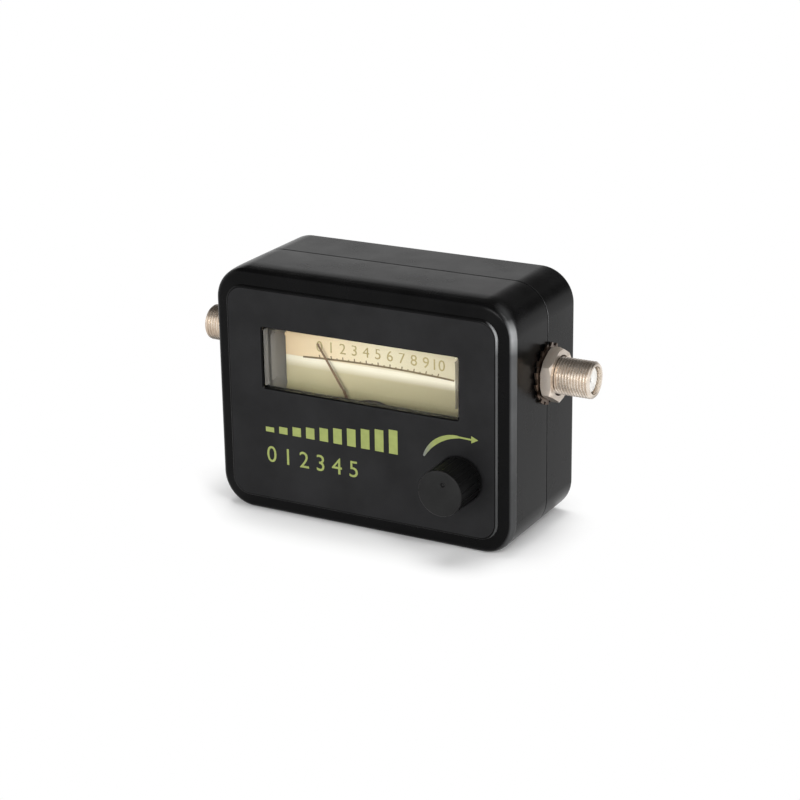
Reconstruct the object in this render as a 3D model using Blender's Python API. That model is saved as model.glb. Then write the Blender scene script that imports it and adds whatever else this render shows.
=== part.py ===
"""Satellite signal meter: a two-part moulded case with a panel meter, a level control and two F-type connectors.

X runs to the reader's right, Y to the back and Z up, in metres.
The origin is on the bottom face, in the middle of the case's width and depth.
"""

import math

import bmesh
import bpy
from mathutils import Matrix, Vector

# Unit, clearances and facets
MM = 0.001
GAP = 0.3 * MM  # between neighbouring pieces
OVERRUN = 1.0 * MM  # how far a cutter runs past a face, and a joined shape into its carrier
LARGE_SIDES = 32
SMALL_SIDES = 16
TINY_SIDES = 10
CORNER_STEPS = 6
EDGE_STEPS = 3

# Case
CASE_WIDTH = 85.5 * MM
CASE_HEIGHT = 66.0 * MM
CASE_DEPTH = 37.2 * MM
CORNER_RADIUS = 9.0 * MM
WALL = 2.2 * MM
FRONT_WALL = 2.4 * MM
PARTING_BEHIND_CENTRE = 1.5 * MM
PANEL_INSET = 4.0 * MM  # from the case's outline to the raised front panel
PANEL_STEP = 0.9 * MM
PANEL_EDGE = 0.35 * MM
RIM_FALL = 0.35 * MM  # how far the rim round the panel slopes back towards the edge
FRONT_EDGE = 1.9 * MM
REAR_EDGE = 1.3 * MM
TONGUE_WIDTH = 0.8 * MM
TONGUE_HEIGHT = 1.5 * MM

# Case screws and their posts
POST_INSET = 7.3 * MM
POST_RADIUS = 3.5 * MM
CASE_SCREW_RADIUS = 1.3 * MM
CASE_SCREW_HEAD_RADIUS = 2.7 * MM
CASE_SCREW_HEAD_HEIGHT = 1.9 * MM
CASE_SCREW_SEAT = 7.5 * MM  # from the seam to the seat of the head
CASE_SCREW_LENGTH = 15.0 * MM

# Meter window and meter cap
WINDOW_FROM_SIDE = 14.5 * MM
WINDOW_HEIGHT = 16.3 * MM
WINDOW_CENTRE_SHARE = 0.651515  # of the case's height
WINDOW_CORNER = 0.8 * MM
WINDOW_CHAMFER = 0.3 * MM
CAP_RECESS = 0.4 * MM
CAP_WALL = 1.4 * MM
CAP_SHOULDER = 1.0 * MM
CAP_TOP_SHOULDER = 1.8 * MM  # deeper at the top, where the needle's arc needs room
METER_ABOVE_CONTROL = 0.6 * MM
STEM_MARGIN = 1.4 * MM  # from the pivot cover's rim to the stem's inner side
STEM_BELOW_CUP = 2.0 * MM

# Dial and meter base
DIAL_BEHIND_FRONT = 10.1 * MM
DIAL_THICKNESS = 0.5 * MM
BASE_THICKNESS = 1.6 * MM
CUP_BACK_THICKNESS = 1.2 * MM
CUP_WALL = 1.6 * MM
DIAL_SCREW_RADIUS = 0.7 * MM
DIAL_SCREW_HEAD = 1.4 * MM
DIAL_SCREW_LENGTH = 1.8 * MM
DIAL_SCREW_X = 12.3 * MM
DIAL_SCREW_BELOW_PIVOT = 8.0 * MM

# Moving-coil movement
PIVOT_SHARE = 0.29394  # height of the needle's axis, as a share of the case's height
NEEDLE_REST_DEG = -32.6  # from upright, clockwise positive
NEEDLE_TIP_BELOW_WINDOW_TOP = 0.35 * MM  # when the needle stands upright
NEEDLE_THICKNESS = 0.3 * MM
NEEDLE_ROOT_WIDTH = 0.85 * MM
NEEDLE_TIP_WIDTH = 0.4 * MM
NEEDLE_ABOVE_DIAL = 1.1 * MM
NEEDLE_HUB_RADIUS = 1.7 * MM
NEEDLE_HUB_HEIGHT = 0.7 * MM
TAIL_LENGTH = 6.8 * MM
TAIL_WIDTH = 1.0 * MM
BALANCE_RADIUS = 1.5 * MM
BALANCE_THICKNESS = 0.7 * MM
BALANCE_DISTANCE = 5.2 * MM
CORE_RADIUS = 5.2 * MM
CORE_LENGTH = 8.0 * MM
CORE_BEHIND_DIAL = 2.4 * MM
AIR_GAP = 2.1 * MM
RING_THICKNESS = 1.7 * MM
RING_SHORTER = 0.5 * MM  # how far the ring stops short of the core at each end
COIL_CLEARANCE = 0.45 * MM
FORMER_THICKNESS = 0.4 * MM
WINDING_THICKNESS = 0.5 * MM
WINDING_WIDTH = 1.8 * MM
FORMER_END_GAP = 0.5 * MM
STAFF_RADIUS = 0.45 * MM
STAFF_FOOT_RADIUS = 2.2 * MM
STAFF_FOOT_HEIGHT = 0.3 * MM
STAFF_CONE = 0.8 * MM
FRONT_STAFF_LENGTH = 3.0 * MM
REAR_STAFF_LENGTH = 2.2 * MM
JEWEL_SCREW_RADIUS = 1.2 * MM
JEWEL_SCREW_LENGTH = 2.2 * MM
JEWEL_CUP_RADIUS = 0.8 * MM
JEWEL_SLOT = 0.5 * MM
BRIDGE_THICKNESS = 1.0 * MM
BRIDGE_HALF_WIDTH = 1.9 * MM
BRIDGE_LEG = 1.2 * MM
REAR_BRIDGE_HALF_WIDTH = 2.7 * MM
PRONG_HALF_WIDTH = 0.95 * MM
PRONG_DEPTH = 1.2 * MM
PRONG_MARGIN = 0.15 * MM
ZERO_LEVER_THICKNESS = 0.4 * MM
ZERO_LEVER_EYE = 1.1 * MM
ZERO_LEVER_TAB = 0.8 * MM
ZERO_LEVER_HALF_WIDTH = 0.7 * MM
HAIRSPRING_STRIP = 0.15 * MM
HAIRSPRING_HEIGHT = 0.35 * MM
HAIRSPRING_TURNS = 3.0
HAIRSPRING_STEPS_PER_TURN = 12
FRONT_HAIRSPRING_RADIUS = 3.9 * MM
REAR_HAIRSPRING_RADIUS = 3.2 * MM
HAIRSPRING_INNER_RADIUS = 0.9 * MM
COVER_OVERHANG = 4.6 * MM  # from the return ring's outside to the cover's rim
COVER_FLARE = 2.4 * MM  # from the cover's flat face to its rim
COVER_THICKNESS = 0.9 * MM
COVER_DEPTH = 3.9 * MM
COVER_BELOW_PIVOT = 9.5 * MM
COVER_POST_RADIUS = 1.1 * MM

# Level control and knob
KNOB_OFFSET = 0.125 * MM  # from the middle between the meter's stem and the side wall
KNOB_SHARE = 0.295455  # height of the knob's axis, as a share of the case's height
KNOB_RADIUS = 6.3 * MM
KNOB_LENGTH = 10.6 * MM
KNOB_TAPER = 0.25 * MM
KNOB_EDGE = 0.5 * MM
KNOB_STAND_OFF = 0.5 * MM
KNOB_FLUTES = 18
KNOB_FLUTE_DEPTH = 0.22 * MM
KNOB_SKIRT_HEIGHT = 1.2 * MM
KNOB_FACE_THICKNESS = 2.2 * MM
KNOB_POINTER_DEG = 20.0  # from upright, clockwise positive
KNOB_POINTER_DISTANCE = 2.6 * MM
KNOB_POINTER_RADIUS = 0.6 * MM
KNOB_POINTER_DEPTH = 0.35 * MM
SHAFT_RADIUS = 3.0 * MM
BUSH_RADIUS = 3.9 * MM
BUSH_LENGTH = 5.3 * MM
BUSH_FLANGE_RADIUS = 5.6 * MM
BUSH_FLANGE_THICKNESS = 0.8 * MM
CONTROL_SHARE = 0.124242  # the control's radius, as a share of the case's height
CONTROL_CAN_LENGTH = 6.3 * MM
CONTROL_CAN_WALL = 0.6 * MM
WAFER_THICKNESS = 1.8 * MM
WIPER_INSET = 1.9 * MM
WIPER_THICKNESS = 1.6 * MM
WIPER_TAB_REACH = 0.9 * MM
STOP_HALF_DEG = 13.0
CONTROL_PIN_RADIUS = 0.5 * MM
CONTROL_PIN_PITCH_SHARE = 0.61  # of the control's radius
CONTROL_PIN_DROP_SHARE = 0.67
PIN_PAST_BOARD = 1.1 * MM

# F-type connectors, 3/8-32 thread and half-inch nut
CONNECTOR_SHARE = 0.65606  # height of the connectors' axis, as a share of the case's height
THREAD_RADIUS = 4.75 * MM
THREAD_REACH = 13.3 * MM  # from the case's side to the connector's end
THREAD_CHAMFER = 0.45 * MM
CONNECTOR_FLANGE_RADIUS = 6.3 * MM
CONNECTOR_FLANGE_THICKNESS = 2.0 * MM
CONNECTOR_TAIL_RADIUS = 4.2 * MM
CONNECTOR_TAIL_LENGTH = 2.2 * MM
CONNECTOR_BORE = 3.6 * MM
INSULATOR_RECESS = 1.0 * MM
INSULATOR_FACE = 0.7 * MM
INSULATOR_ENTRY = 0.65 * MM
CONTACT_RADIUS = 1.2 * MM
CONTACT_BORE = 0.6 * MM
CONTACT_BORE_DEPTH = 6.0 * MM
CONTACT_PIN_RADIUS = 0.5 * MM
CONTACT_PIN_LENGTH = 3.8 * MM
WASHER_THICKNESS = 0.6 * MM
WASHER_RADIUS = 7.9 * MM
WASHER_TEETH = 16
WASHER_TOOTH = 0.8 * MM
NUT_THICKNESS = 2.8 * MM
NUT_ACROSS_FLATS = 12.7 * MM
NUT_CHAMFER = 0.7 * MM

# Circuit board and its parts
BOARD_THICKNESS = 1.6 * MM
BOARD_FROM_SIDE = 7.3 * MM
BOARD_FROM_END = 8.2 * MM
BOARD_CORNER = 3.9 * MM
BOARD_SLOT_MARGIN = 1.0 * MM
BOARD_POST_RADIUS = 2.4 * MM
BOARD_POST_FROM_METER = 1.3 * MM
BOARD_POST_BELOW_WINDOW = 9.5 * MM
BOARD_SCREW_RADIUS = 0.95 * MM
BOARD_SCREW_HEAD_RADIUS = 2.2 * MM
BOARD_SCREW_HEAD_HEIGHT = 1.3 * MM
BOARD_SCREW_LENGTH = 7.5 * MM
SHIELD_FROM_EDGE = 20.45 * MM
SHIELD_HEIGHT = 16.0 * MM
SHIELD_DEPTH = 7.0 * MM
SHIELD_WALL = 0.5 * MM
SHIELD_CENTRE_SHARE = 0.69697  # of the case's height
TRANSISTOR_WIDTH = 3.0 * MM
TRANSISTOR_HEIGHT = 1.6 * MM
TRANSISTOR_DEPTH = 1.4 * MM
TRANSISTOR_PLACE_SHARE = 0.2333  # from the middle, of the shield's width
TRANSISTOR_DRAFT_SHARE = 0.85
DIODE_RADIUS = 0.9 * MM
DIODE_LENGTH = 3.6 * MM
DIODE_LEAD_RADIUS = 0.3 * MM
DIODE_LEAD_LENGTH = 2.5 * MM
DIODE_BELOW_CENTRE = 4.5 * MM
CHIP_LENGTH = 9.4 * MM
CHIP_WIDTH = 6.2 * MM
CHIP_HEIGHT = 3.0 * MM
CHIP_STAND_OFF = 0.6 * MM
CHIP_LEG_PITCH = 2.54 * MM
CHIP_LEG_WIDTH = 1.2 * MM
CHIP_LEG_THICKNESS = 0.4 * MM
CHIP_LEG_REACH = 0.9 * MM
CHIP_LEGS_PER_SIDE = 4
CAPACITOR_RADIUS = 3.2 * MM
CAPACITOR_LENGTH = 7.0 * MM
CAPACITOR_GROOVE = 0.4 * MM
CHOKE_RADIUS = 3.3 * MM
CHOKE_WAIST_RADIUS = 2.3 * MM
CHOKE_LENGTH = 5.0 * MM
CHOKE_RIM = 0.9 * MM
REGULATOR_RADIUS = 2.4 * MM
REGULATOR_FLAT = 1.4 * MM
REGULATOR_HEIGHT = 4.6 * MM
REGULATOR_LEG = 0.5 * MM
REGULATOR_LEG_PITCH = 1.27 * MM
REGULATOR_STAND_OFF = 1.8 * MM
BUZZER_RADIUS = 6.0 * MM
BUZZER_LENGTH = 8.0 * MM
BUZZER_HOLE_RADIUS = 1.0 * MM
BUZZER_HOLE_DEPTH = 2.0 * MM
LAMP_RADIUS = 1.5 * MM
LAMP_LENGTH = 4.4 * MM
LAMP_RIM = 0.3 * MM
LAMP_RIM_HEIGHT = 0.8 * MM
LAMP_LEG = 0.5 * MM
LAMP_LEG_PITCH = 1.5 * MM
LAMP_X = 11.0 * MM
LAMP_BELOW_WINDOW = 4.0 * MM
TERMINAL_PLACE_SHARE = 0.33628  # from the middle, of the window's width
TERMINAL_ABOVE_CHAMBER_FLOOR = 4.7 * MM
TERMINAL_RADIUS = 0.8 * MM
TERMINAL_COLLAR_RADIUS = 1.7 * MM
TERMINAL_COLLAR_HEIGHT = 0.6 * MM

# Places of the board's parts
CHIP_FROM_EDGE = 10.0 * MM
CHIP_ABOVE_WINDOW = 3.0 * MM
CAPACITOR_FROM_EDGE = 9.5 * MM
CAPACITOR_BELOW_WINDOW = 7.0 * MM
CHOKE_FROM_EDGE = 7.5 * MM
CHOKE_ABOVE_WINDOW = 3.0 * MM
REGULATOR_FROM_SHIELD = 4.95 * MM
REGULATOR_ABOVE_WINDOW = 7.0 * MM
BUZZER_FROM_EDGE = 8.5 * MM
BUZZER_SHARE = 0.30303  # of the case's height

# Planes and axes worked out from the sizes
FRONT_Y = -CASE_DEPTH / 2
BACK_Y = CASE_DEPTH / 2
INNER_FRONT_Y = FRONT_Y + FRONT_WALL
INNER_BACK_Y = BACK_Y - WALL
PARTING_Y = PARTING_BEHIND_CENTRE
FRONT_SEAM_Y = PARTING_Y - GAP / 2
REAR_SEAM_Y = PARTING_Y + GAP / 2
SIDE_X = CASE_WIDTH / 2
INNER_SIDE_X = SIDE_X - WALL

WINDOW_WIDTH = CASE_WIDTH - 2 * WINDOW_FROM_SIDE
WINDOW_Z = WINDOW_CENTRE_SHARE * CASE_HEIGHT
WINDOW_TOP_Z = WINDOW_Z + WINDOW_HEIGHT / 2
PIVOT_Z = PIVOT_SHARE * CASE_HEIGHT
NEEDLE_LENGTH = WINDOW_TOP_Z - NEEDLE_TIP_BELOW_WINDOW_TOP - PIVOT_Z
KNOB_Z = KNOB_SHARE * CASE_HEIGHT
CONTROL_RADIUS = CONTROL_SHARE * CASE_HEIGHT
WIPER_RADIUS = CONTROL_RADIUS - WIPER_INSET
CONNECTOR_Y = PARTING_Y
CONNECTOR_Z = CONNECTOR_SHARE * CASE_HEIGHT

CAP_FRONT_Y = FRONT_Y + CAP_RECESS
CAP_SHOULDER_Y = INNER_FRONT_Y + GAP
DIAL_FRONT_Y = FRONT_Y + DIAL_BEHIND_FRONT
DIAL_BACK_Y = DIAL_FRONT_Y + DIAL_THICKNESS
BASE_FRONT_Y = DIAL_BACK_Y + GAP
BASE_BACK_Y = BASE_FRONT_Y + BASE_THICKNESS
CAP_BACK_Y = BASE_FRONT_Y - GAP

CORE_FRONT_Y = DIAL_FRONT_Y + CORE_BEHIND_DIAL
CORE_BACK_Y = CORE_FRONT_Y + CORE_LENGTH
RING_FRONT_Y = CORE_FRONT_Y + RING_SHORTER
RING_BACK_Y = CORE_BACK_Y - RING_SHORTER
RING_INNER_RADIUS = CORE_RADIUS + AIR_GAP
RING_RADIUS = RING_INNER_RADIUS + RING_THICKNESS
CUP_BORE = RING_RADIUS + GAP
CUP_RADIUS = CUP_BORE + CUP_WALL
DIAL_HOLE_RADIUS = CUP_BORE + GAP
COVER_RADIUS = RING_RADIUS + COVER_OVERHANG
COVER_FACE_RADIUS = COVER_RADIUS - COVER_FLARE

CHAMBER_HALF_WIDTH = WINDOW_WIDTH / 2 - GAP + CAP_SHOULDER
CHAMBER_TOP_Z = WINDOW_TOP_Z - GAP + CAP_TOP_SHOULDER
CHAMBER_FLOOR_Z = KNOB_Z + CONTROL_RADIUS + METER_ABOVE_CONTROL
STEM_HALF_WIDTH = COVER_RADIUS + STEM_MARGIN + CAP_WALL
STEM_FLOOR_Z = PIVOT_Z - CUP_RADIUS - STEM_BELOW_CUP
TERMINAL_X = TERMINAL_PLACE_SHARE * WINDOW_WIDTH
TERMINAL_Z = CHAMBER_FLOOR_Z + TERMINAL_ABOVE_CHAMBER_FLOOR
KNOB_X = (STEM_HALF_WIDTH + INNER_SIDE_X) / 2 + KNOB_OFFSET

FORMER_INNER = CORE_RADIUS + COIL_CLEARANCE
FORMER_OUTER = FORMER_INNER + FORMER_THICKNESS
WINDING_INNER = FORMER_OUTER + GAP
WINDING_OUTER = WINDING_INNER + WINDING_THICKNESS
FORMER_FRONT_Y = CORE_FRONT_Y - FORMER_END_GAP
FORMER_BACK_Y = CORE_BACK_Y + FORMER_END_GAP
WINDING_OVER_FORMER = FORMER_THICKNESS + GAP + WINDING_THICKNESS
FRONT_FOOT_Y = FORMER_FRONT_Y - WINDING_OVER_FORMER - GAP
REAR_FOOT_Y = FORMER_BACK_Y + WINDING_OVER_FORMER + GAP
FRONT_TIP_Y = FRONT_FOOT_Y - FRONT_STAFF_LENGTH
REAR_TIP_Y = REAR_FOOT_Y + REAR_STAFF_LENGTH
FRONT_JEWEL_Y = FRONT_TIP_Y + STAFF_CONE / 2
REAR_JEWEL_Y = REAR_TIP_Y - STAFF_CONE / 2
NEEDLE_BACK_Y = DIAL_FRONT_Y - NEEDLE_ABOVE_DIAL
NEEDLE_FRONT_Y = NEEDLE_BACK_Y - NEEDLE_THICKNESS
NEEDLE_MID_Y = (NEEDLE_BACK_Y + NEEDLE_FRONT_Y) / 2
HUB_FRONT_Y = NEEDLE_MID_Y - NEEDLE_HUB_HEIGHT / 2
HUB_BACK_Y = NEEDLE_MID_Y + NEEDLE_HUB_HEIGHT / 2
ZERO_LEVER_BACK_Y = FRONT_JEWEL_Y + GAP
ZERO_LEVER_FRONT_Y = ZERO_LEVER_BACK_Y - ZERO_LEVER_THICKNESS
FRONT_BRIDGE_BACK_Y = ZERO_LEVER_FRONT_Y - GAP
FRONT_BRIDGE_FRONT_Y = FRONT_BRIDGE_BACK_Y - BRIDGE_THICKNESS
REAR_BRIDGE_FRONT_Y = REAR_JEWEL_Y + GAP
REAR_BRIDGE_BACK_Y = REAR_BRIDGE_FRONT_Y + BRIDGE_THICKNESS
REAR_JEWEL_END_Y = REAR_JEWEL_Y + JEWEL_SCREW_LENGTH
CUP_INNER_BACK_Y = REAR_JEWEL_END_Y + GAP
CUP_BACK_Y = CUP_INNER_BACK_Y + CUP_BACK_THICKNESS
FRONT_HAIRSPRING_Y = (FRONT_FOOT_Y - STAFF_FOOT_HEIGHT + HUB_BACK_Y) / 2
REAR_HAIRSPRING_Y = REAR_FOOT_Y + STAFF_FOOT_HEIGHT + GAP + HAIRSPRING_HEIGHT / 2
COVER_FRONT_Y = DIAL_FRONT_Y - COVER_DEPTH - NEEDLE_ABOVE_DIAL - NEEDLE_THICKNESS - GAP

BOARD_FRONT_Y = CONNECTOR_Y + CONTACT_PIN_RADIUS + GAP
BOARD_BACK_Y = BOARD_FRONT_Y + BOARD_THICKNESS
BOARD_REAR_SEAT_Y = BOARD_BACK_Y + GAP
BOARD_EDGE_X = SIDE_X - BOARD_FROM_SIDE
BOARD_TOP_Z = CASE_HEIGHT - BOARD_FROM_END
BOARD_BOTTOM_Z = BOARD_FROM_END
BOARD_POST_X = CHAMBER_HALF_WIDTH + BOARD_POST_FROM_METER + BOARD_POST_RADIUS
BOARD_POST_Z = WINDOW_Z - BOARD_POST_BELOW_WINDOW
SHIELD_WIDTH = 2 * (BOARD_EDGE_X - SHIELD_FROM_EDGE)
SHIELD_Z = SHIELD_CENTRE_SHARE * CASE_HEIGHT

WAFER_BACK_Y = BOARD_FRONT_Y - GAP
WAFER_FRONT_Y = WAFER_BACK_Y - WAFER_THICKNESS
CAN_BACK_Y = WAFER_FRONT_Y - GAP
CAN_FRONT_Y = CAN_BACK_Y - CONTROL_CAN_LENGTH
BUSH_FLANGE_BACK_Y = CAN_FRONT_Y - GAP
BUSH_FLANGE_FRONT_Y = BUSH_FLANGE_BACK_Y - BUSH_FLANGE_THICKNESS
BUSH_FRONT_Y = BUSH_FLANGE_FRONT_Y - BUSH_LENGTH
KNOB_BACK_Y = FRONT_Y - KNOB_STAND_OFF
KNOB_FRONT_Y = KNOB_BACK_Y - KNOB_LENGTH
SHAFT_FRONT_Y = KNOB_FRONT_Y + KNOB_FACE_THICKNESS + GAP
WIPER_BACK_Y = CAN_BACK_Y - GAP
WIPER_FRONT_Y = WIPER_BACK_Y - WIPER_THICKNESS

POST_PLACES = [
    (side * (SIDE_X - POST_INSET), CASE_HEIGHT / 2 + level * (CASE_HEIGHT / 2 - POST_INSET))
    for level in (-1, 1)
    for side in (-1, 1)
]
BOARD_POST_PLACES = [(side * BOARD_POST_X, BOARD_POST_Z) for side in (-1, 1)]

# Colour, roughness and metallic value of each finish
FINISHES = {
    "black_moulding": ((0.012, 0.012, 0.013, 1.0), 0.38, 0.0),
    "knob_plastic": ((0.010, 0.010, 0.010, 1.0), 0.32, 0.0),
    "clear_plastic": ((0.80, 0.82, 0.80, 1.0), 0.05, 0.0),
    "cream_print": ((0.82, 0.75, 0.56, 1.0), 0.55, 0.0),
    "needle_paint": ((0.16, 0.07, 0.03, 1.0), 0.45, 0.0),
    "dark_plastic": ((0.03, 0.025, 0.022, 1.0), 0.5, 0.0),
    "nickel": ((0.62, 0.58, 0.54, 1.0), 0.22, 1.0),
    "steel": ((0.55, 0.55, 0.56, 1.0), 0.30, 1.0),
    "brass": ((0.70, 0.52, 0.24, 1.0), 0.30, 1.0),
    "copper": ((0.72, 0.33, 0.16, 1.0), 0.35, 1.0),
    "magnet": ((0.25, 0.25, 0.27, 1.0), 0.35, 1.0),
    "white_insulator": ((0.85, 0.84, 0.80, 1.0), 0.45, 0.0),
    "board_green": ((0.03, 0.16, 0.06, 1.0), 0.40, 0.0),
    "brown_laminate": ((0.22, 0.11, 0.05, 1.0), 0.55, 0.0),
    "component_black": ((0.02, 0.02, 0.02, 1.0), 0.50, 0.0),
    "tin": ((0.68, 0.68, 0.66, 1.0), 0.28, 1.0),
    "sleeve_blue": ((0.03, 0.06, 0.22, 1.0), 0.35, 0.0),
    "lamp_amber": ((0.85, 0.55, 0.18, 1.0), 0.15, 0.0),
}


def clear_scene():
    for old in list(bpy.data.objects):
        bpy.data.objects.remove(old, do_unlink=True)


# Outlines, as points in a plane
def rounded_rectangle(width, height, radius, steps=CORNER_STEPS):
    """Points of a rectangle about zero whose corners are arcs."""
    points = []
    corners = ((1, 1, 0), (-1, 1, 90), (-1, -1, 180), (1, -1, 270))
    for right, up, start in corners:
        centre_x = right * (width / 2 - radius)
        centre_z = up * (height / 2 - radius)
        for step in range(steps + 1):
            angle = math.radians(start + 90 * step / steps)
            points.append((centre_x + radius * math.cos(angle), centre_z + radius * math.sin(angle)))
    return points


def rectangle(low_u, high_u, low_v, high_v):
    return [(low_u, low_v), (high_u, low_v), (high_u, high_v), (low_u, high_v)]


def circle(radius, sides, centre=(0.0, 0.0)):
    turn = 2 * math.pi / sides
    return [
        (centre[0] + radius * math.cos(turn * i), centre[1] + radius * math.sin(turn * i))
        for i in range(sides)
    ]


def sector(inner, outer, half_deg, centre_deg, steps=EDGE_STEPS):
    """A stretch of a ring, with its middle at centre_deg clockwise from upright."""
    points = []
    for radius, order in ((inner, 1), (outer, -1)):
        for step in range(steps + 1):
            share = order * (2 * step / steps - 1)
            angle = math.radians(centre_deg + half_deg * share)
            points.append((radius * math.sin(angle), radius * math.cos(angle)))
    return points


def tee(grow):
    """The meter's T-shaped outline, with every side moved out by grow."""
    half = CHAMBER_HALF_WIDTH + grow
    top = CHAMBER_TOP_Z + grow
    shelf = CHAMBER_FLOOR_Z - grow
    stem = STEM_HALF_WIDTH + grow
    bottom = STEM_FLOOR_Z - grow
    return [
        (-half, top),
        (-half, shelf),
        (-stem, shelf),
        (-stem, bottom),
        (stem, bottom),
        (stem, shelf),
        (half, shelf),
        (half, top),
    ]


def turned_about(points, degrees, centre=(0.0, 0.0)):
    """The points turned clockwise, as the front is read, about a centre."""
    angle = math.radians(degrees)
    cos, sin = math.cos(angle), math.sin(angle)
    return [(centre[0] + u * cos + v * sin, centre[1] - u * sin + v * cos) for u, v in points]


def shifted(points, centre):
    return [(u + centre[0], v + centre[1]) for u, v in points]


# Closed bodies, as bmesh
def in_space(point, level, axis):
    """A point of an outline, lifted to a level along the named axis."""
    u, v = point
    if axis == "X":
        return Vector((level, u, v))
    if axis == "Y":
        return Vector((u, level, v))
    return Vector((u, v, level))


def loft(rings, axis="Y"):
    """A closed body through outlines of equal count, each an (outline, level) pair."""
    bm = bmesh.new()
    rows = [[bm.verts.new(in_space(p, level, axis)) for p in outline] for outline, level in rings]
    count = len(rows[0])
    for near, far in zip(rows, rows[1:]):
        for i in range(count):
            j = (i + 1) % count
            bm.faces.new((near[i], near[j], far[j], far[i]))
    bm.faces.new(rows[0])
    bm.faces.new(rows[-1])
    bmesh.ops.recalc_face_normals(bm, faces=bm.faces[:])
    return bm


def prism(outline, low, high, axis="Y"):
    return loft([(outline, low), (outline, high)], axis)


def block(low, high):
    """A box between two corners."""
    return prism(rectangle(low[0], high[0], low[1], high[1]), low[2], high[2], "Z")


def turned(profile, centre, axis="Y", sides=SMALL_SIDES):
    """A body turned from (level, radius) points; a radius of zero closes it on the axis."""
    bm = bmesh.new()
    rows = []
    for level, radius in profile:
        if radius == 0:
            rows.append([bm.verts.new(in_space(centre, level, axis))])
        else:
            ring = circle(radius, sides, centre)
            rows.append([bm.verts.new(in_space(p, level, axis)) for p in ring])
    pairs = list(zip(rows, rows[1:]))
    if profile[0][1] and profile[-1][1]:
        pairs.append((rows[-1], rows[0]))
    for near, far in pairs:
        for i in range(sides):
            j = (i + 1) % sides
            corners = [near[i % len(near)], near[j % len(near)], far[j % len(far)], far[i % len(far)]]
            face = list(dict.fromkeys(corners))
            if len(face) > 2:
                bm.faces.new(face)
    bmesh.ops.recalc_face_normals(bm, faces=bm.faces[:])
    return bm


def rod(centre, radius, low, high, axis="Y", sides=SMALL_SIDES):
    return prism(circle(radius, sides, centre), low, high, axis)


def joined(parts):
    """Several closed bodies in one mesh, for a cutter or for shapes that a Boolean joins."""
    whole = bmesh.new()
    scratch = bpy.data.meshes.new("scratch")
    for bm in parts:
        bm.to_mesh(scratch)
        whole.from_mesh(scratch)
        bm.free()
    bpy.data.meshes.remove(scratch)
    return whole


# Objects
def finish(name, kind):
    colour, roughness, metallic = FINISHES[kind]
    material = bpy.data.materials.new(name + "_" + kind)
    material.use_nodes = True
    shader = material.node_tree.nodes["Principled BSDF"]
    shader.inputs["Base Color"].default_value = colour
    shader.inputs["Roughness"].default_value = roughness
    shader.inputs["Metallic"].default_value = metallic
    material.diffuse_color = colour
    return material


def empty(name, place, parent=None):
    holder = bpy.data.objects.new(name, None)
    bpy.context.scene.collection.objects.link(holder)
    holder.parent = parent
    holder.location = Vector(place) - (parent.location if parent else Vector())
    return holder


def piece(name, bm, kind, holder, smooth_deg=35.0):
    """A named sub-part, whose mesh is written in world places and held by an empty on its axis."""
    origin = holder.location + (holder.parent.location if holder.parent else Vector())
    bmesh.ops.transform(bm, matrix=Matrix.Translation(-origin), verts=bm.verts[:])
    mesh = bpy.data.meshes.new(name)
    bm.to_mesh(mesh)
    bm.free()
    mesh.shade_smooth()
    mesh.set_sharp_from_angle(angle=math.radians(smooth_deg))
    mesh.materials.append(finish(name, kind))
    made = bpy.data.objects.new(name, mesh)
    bpy.context.scene.collection.objects.link(made)
    made.parent = holder
    return made


def combine(target, bm, operation):
    """Joins a hidden body to the target, or cuts it away."""
    name = target.name + ("_joined" if operation == "UNION" else "_cutter")
    mesh = bpy.data.meshes.new(name)
    bm.to_mesh(mesh)
    bm.free()
    helper = bpy.data.objects.new(name, mesh)
    bpy.context.scene.collection.objects.link(helper)
    helper.hide_render = True
    helper.display_type = "WIRE"
    modifier = target.modifiers.new(name, "BOOLEAN")
    modifier.operation = operation
    modifier.solver = "EXACT"
    modifier.object = helper


def add(target, bm):
    combine(target, bm, "UNION")


def cut(target, bm):
    combine(target, bm, "DIFFERENCE")


# Case
def case_ring(inset):
    """The case's outline, moved in by inset, standing on the origin's plane."""
    radius = max(CORNER_RADIUS - inset, GAP)
    outline = rounded_rectangle(CASE_WIDTH - 2 * inset, CASE_HEIGHT - 2 * inset, radius)
    return shifted(outline, (0.0, CASE_HEIGHT / 2))


def rounded_edge(radius, start_y, forward, inset=0.0):
    """Rings of a rounded edge, from the end face to the side; forward is -1 at the front."""
    rings = []
    for step in range(EDGE_STEPS + 1):
        angle = math.radians(90 * step / EDGE_STEPS)
        rings.append(
            (
                case_ring(inset + radius * (1 - math.sin(angle))),
                start_y - forward * radius * (1 - math.cos(angle)),
            )
        )
    return rings


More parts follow.
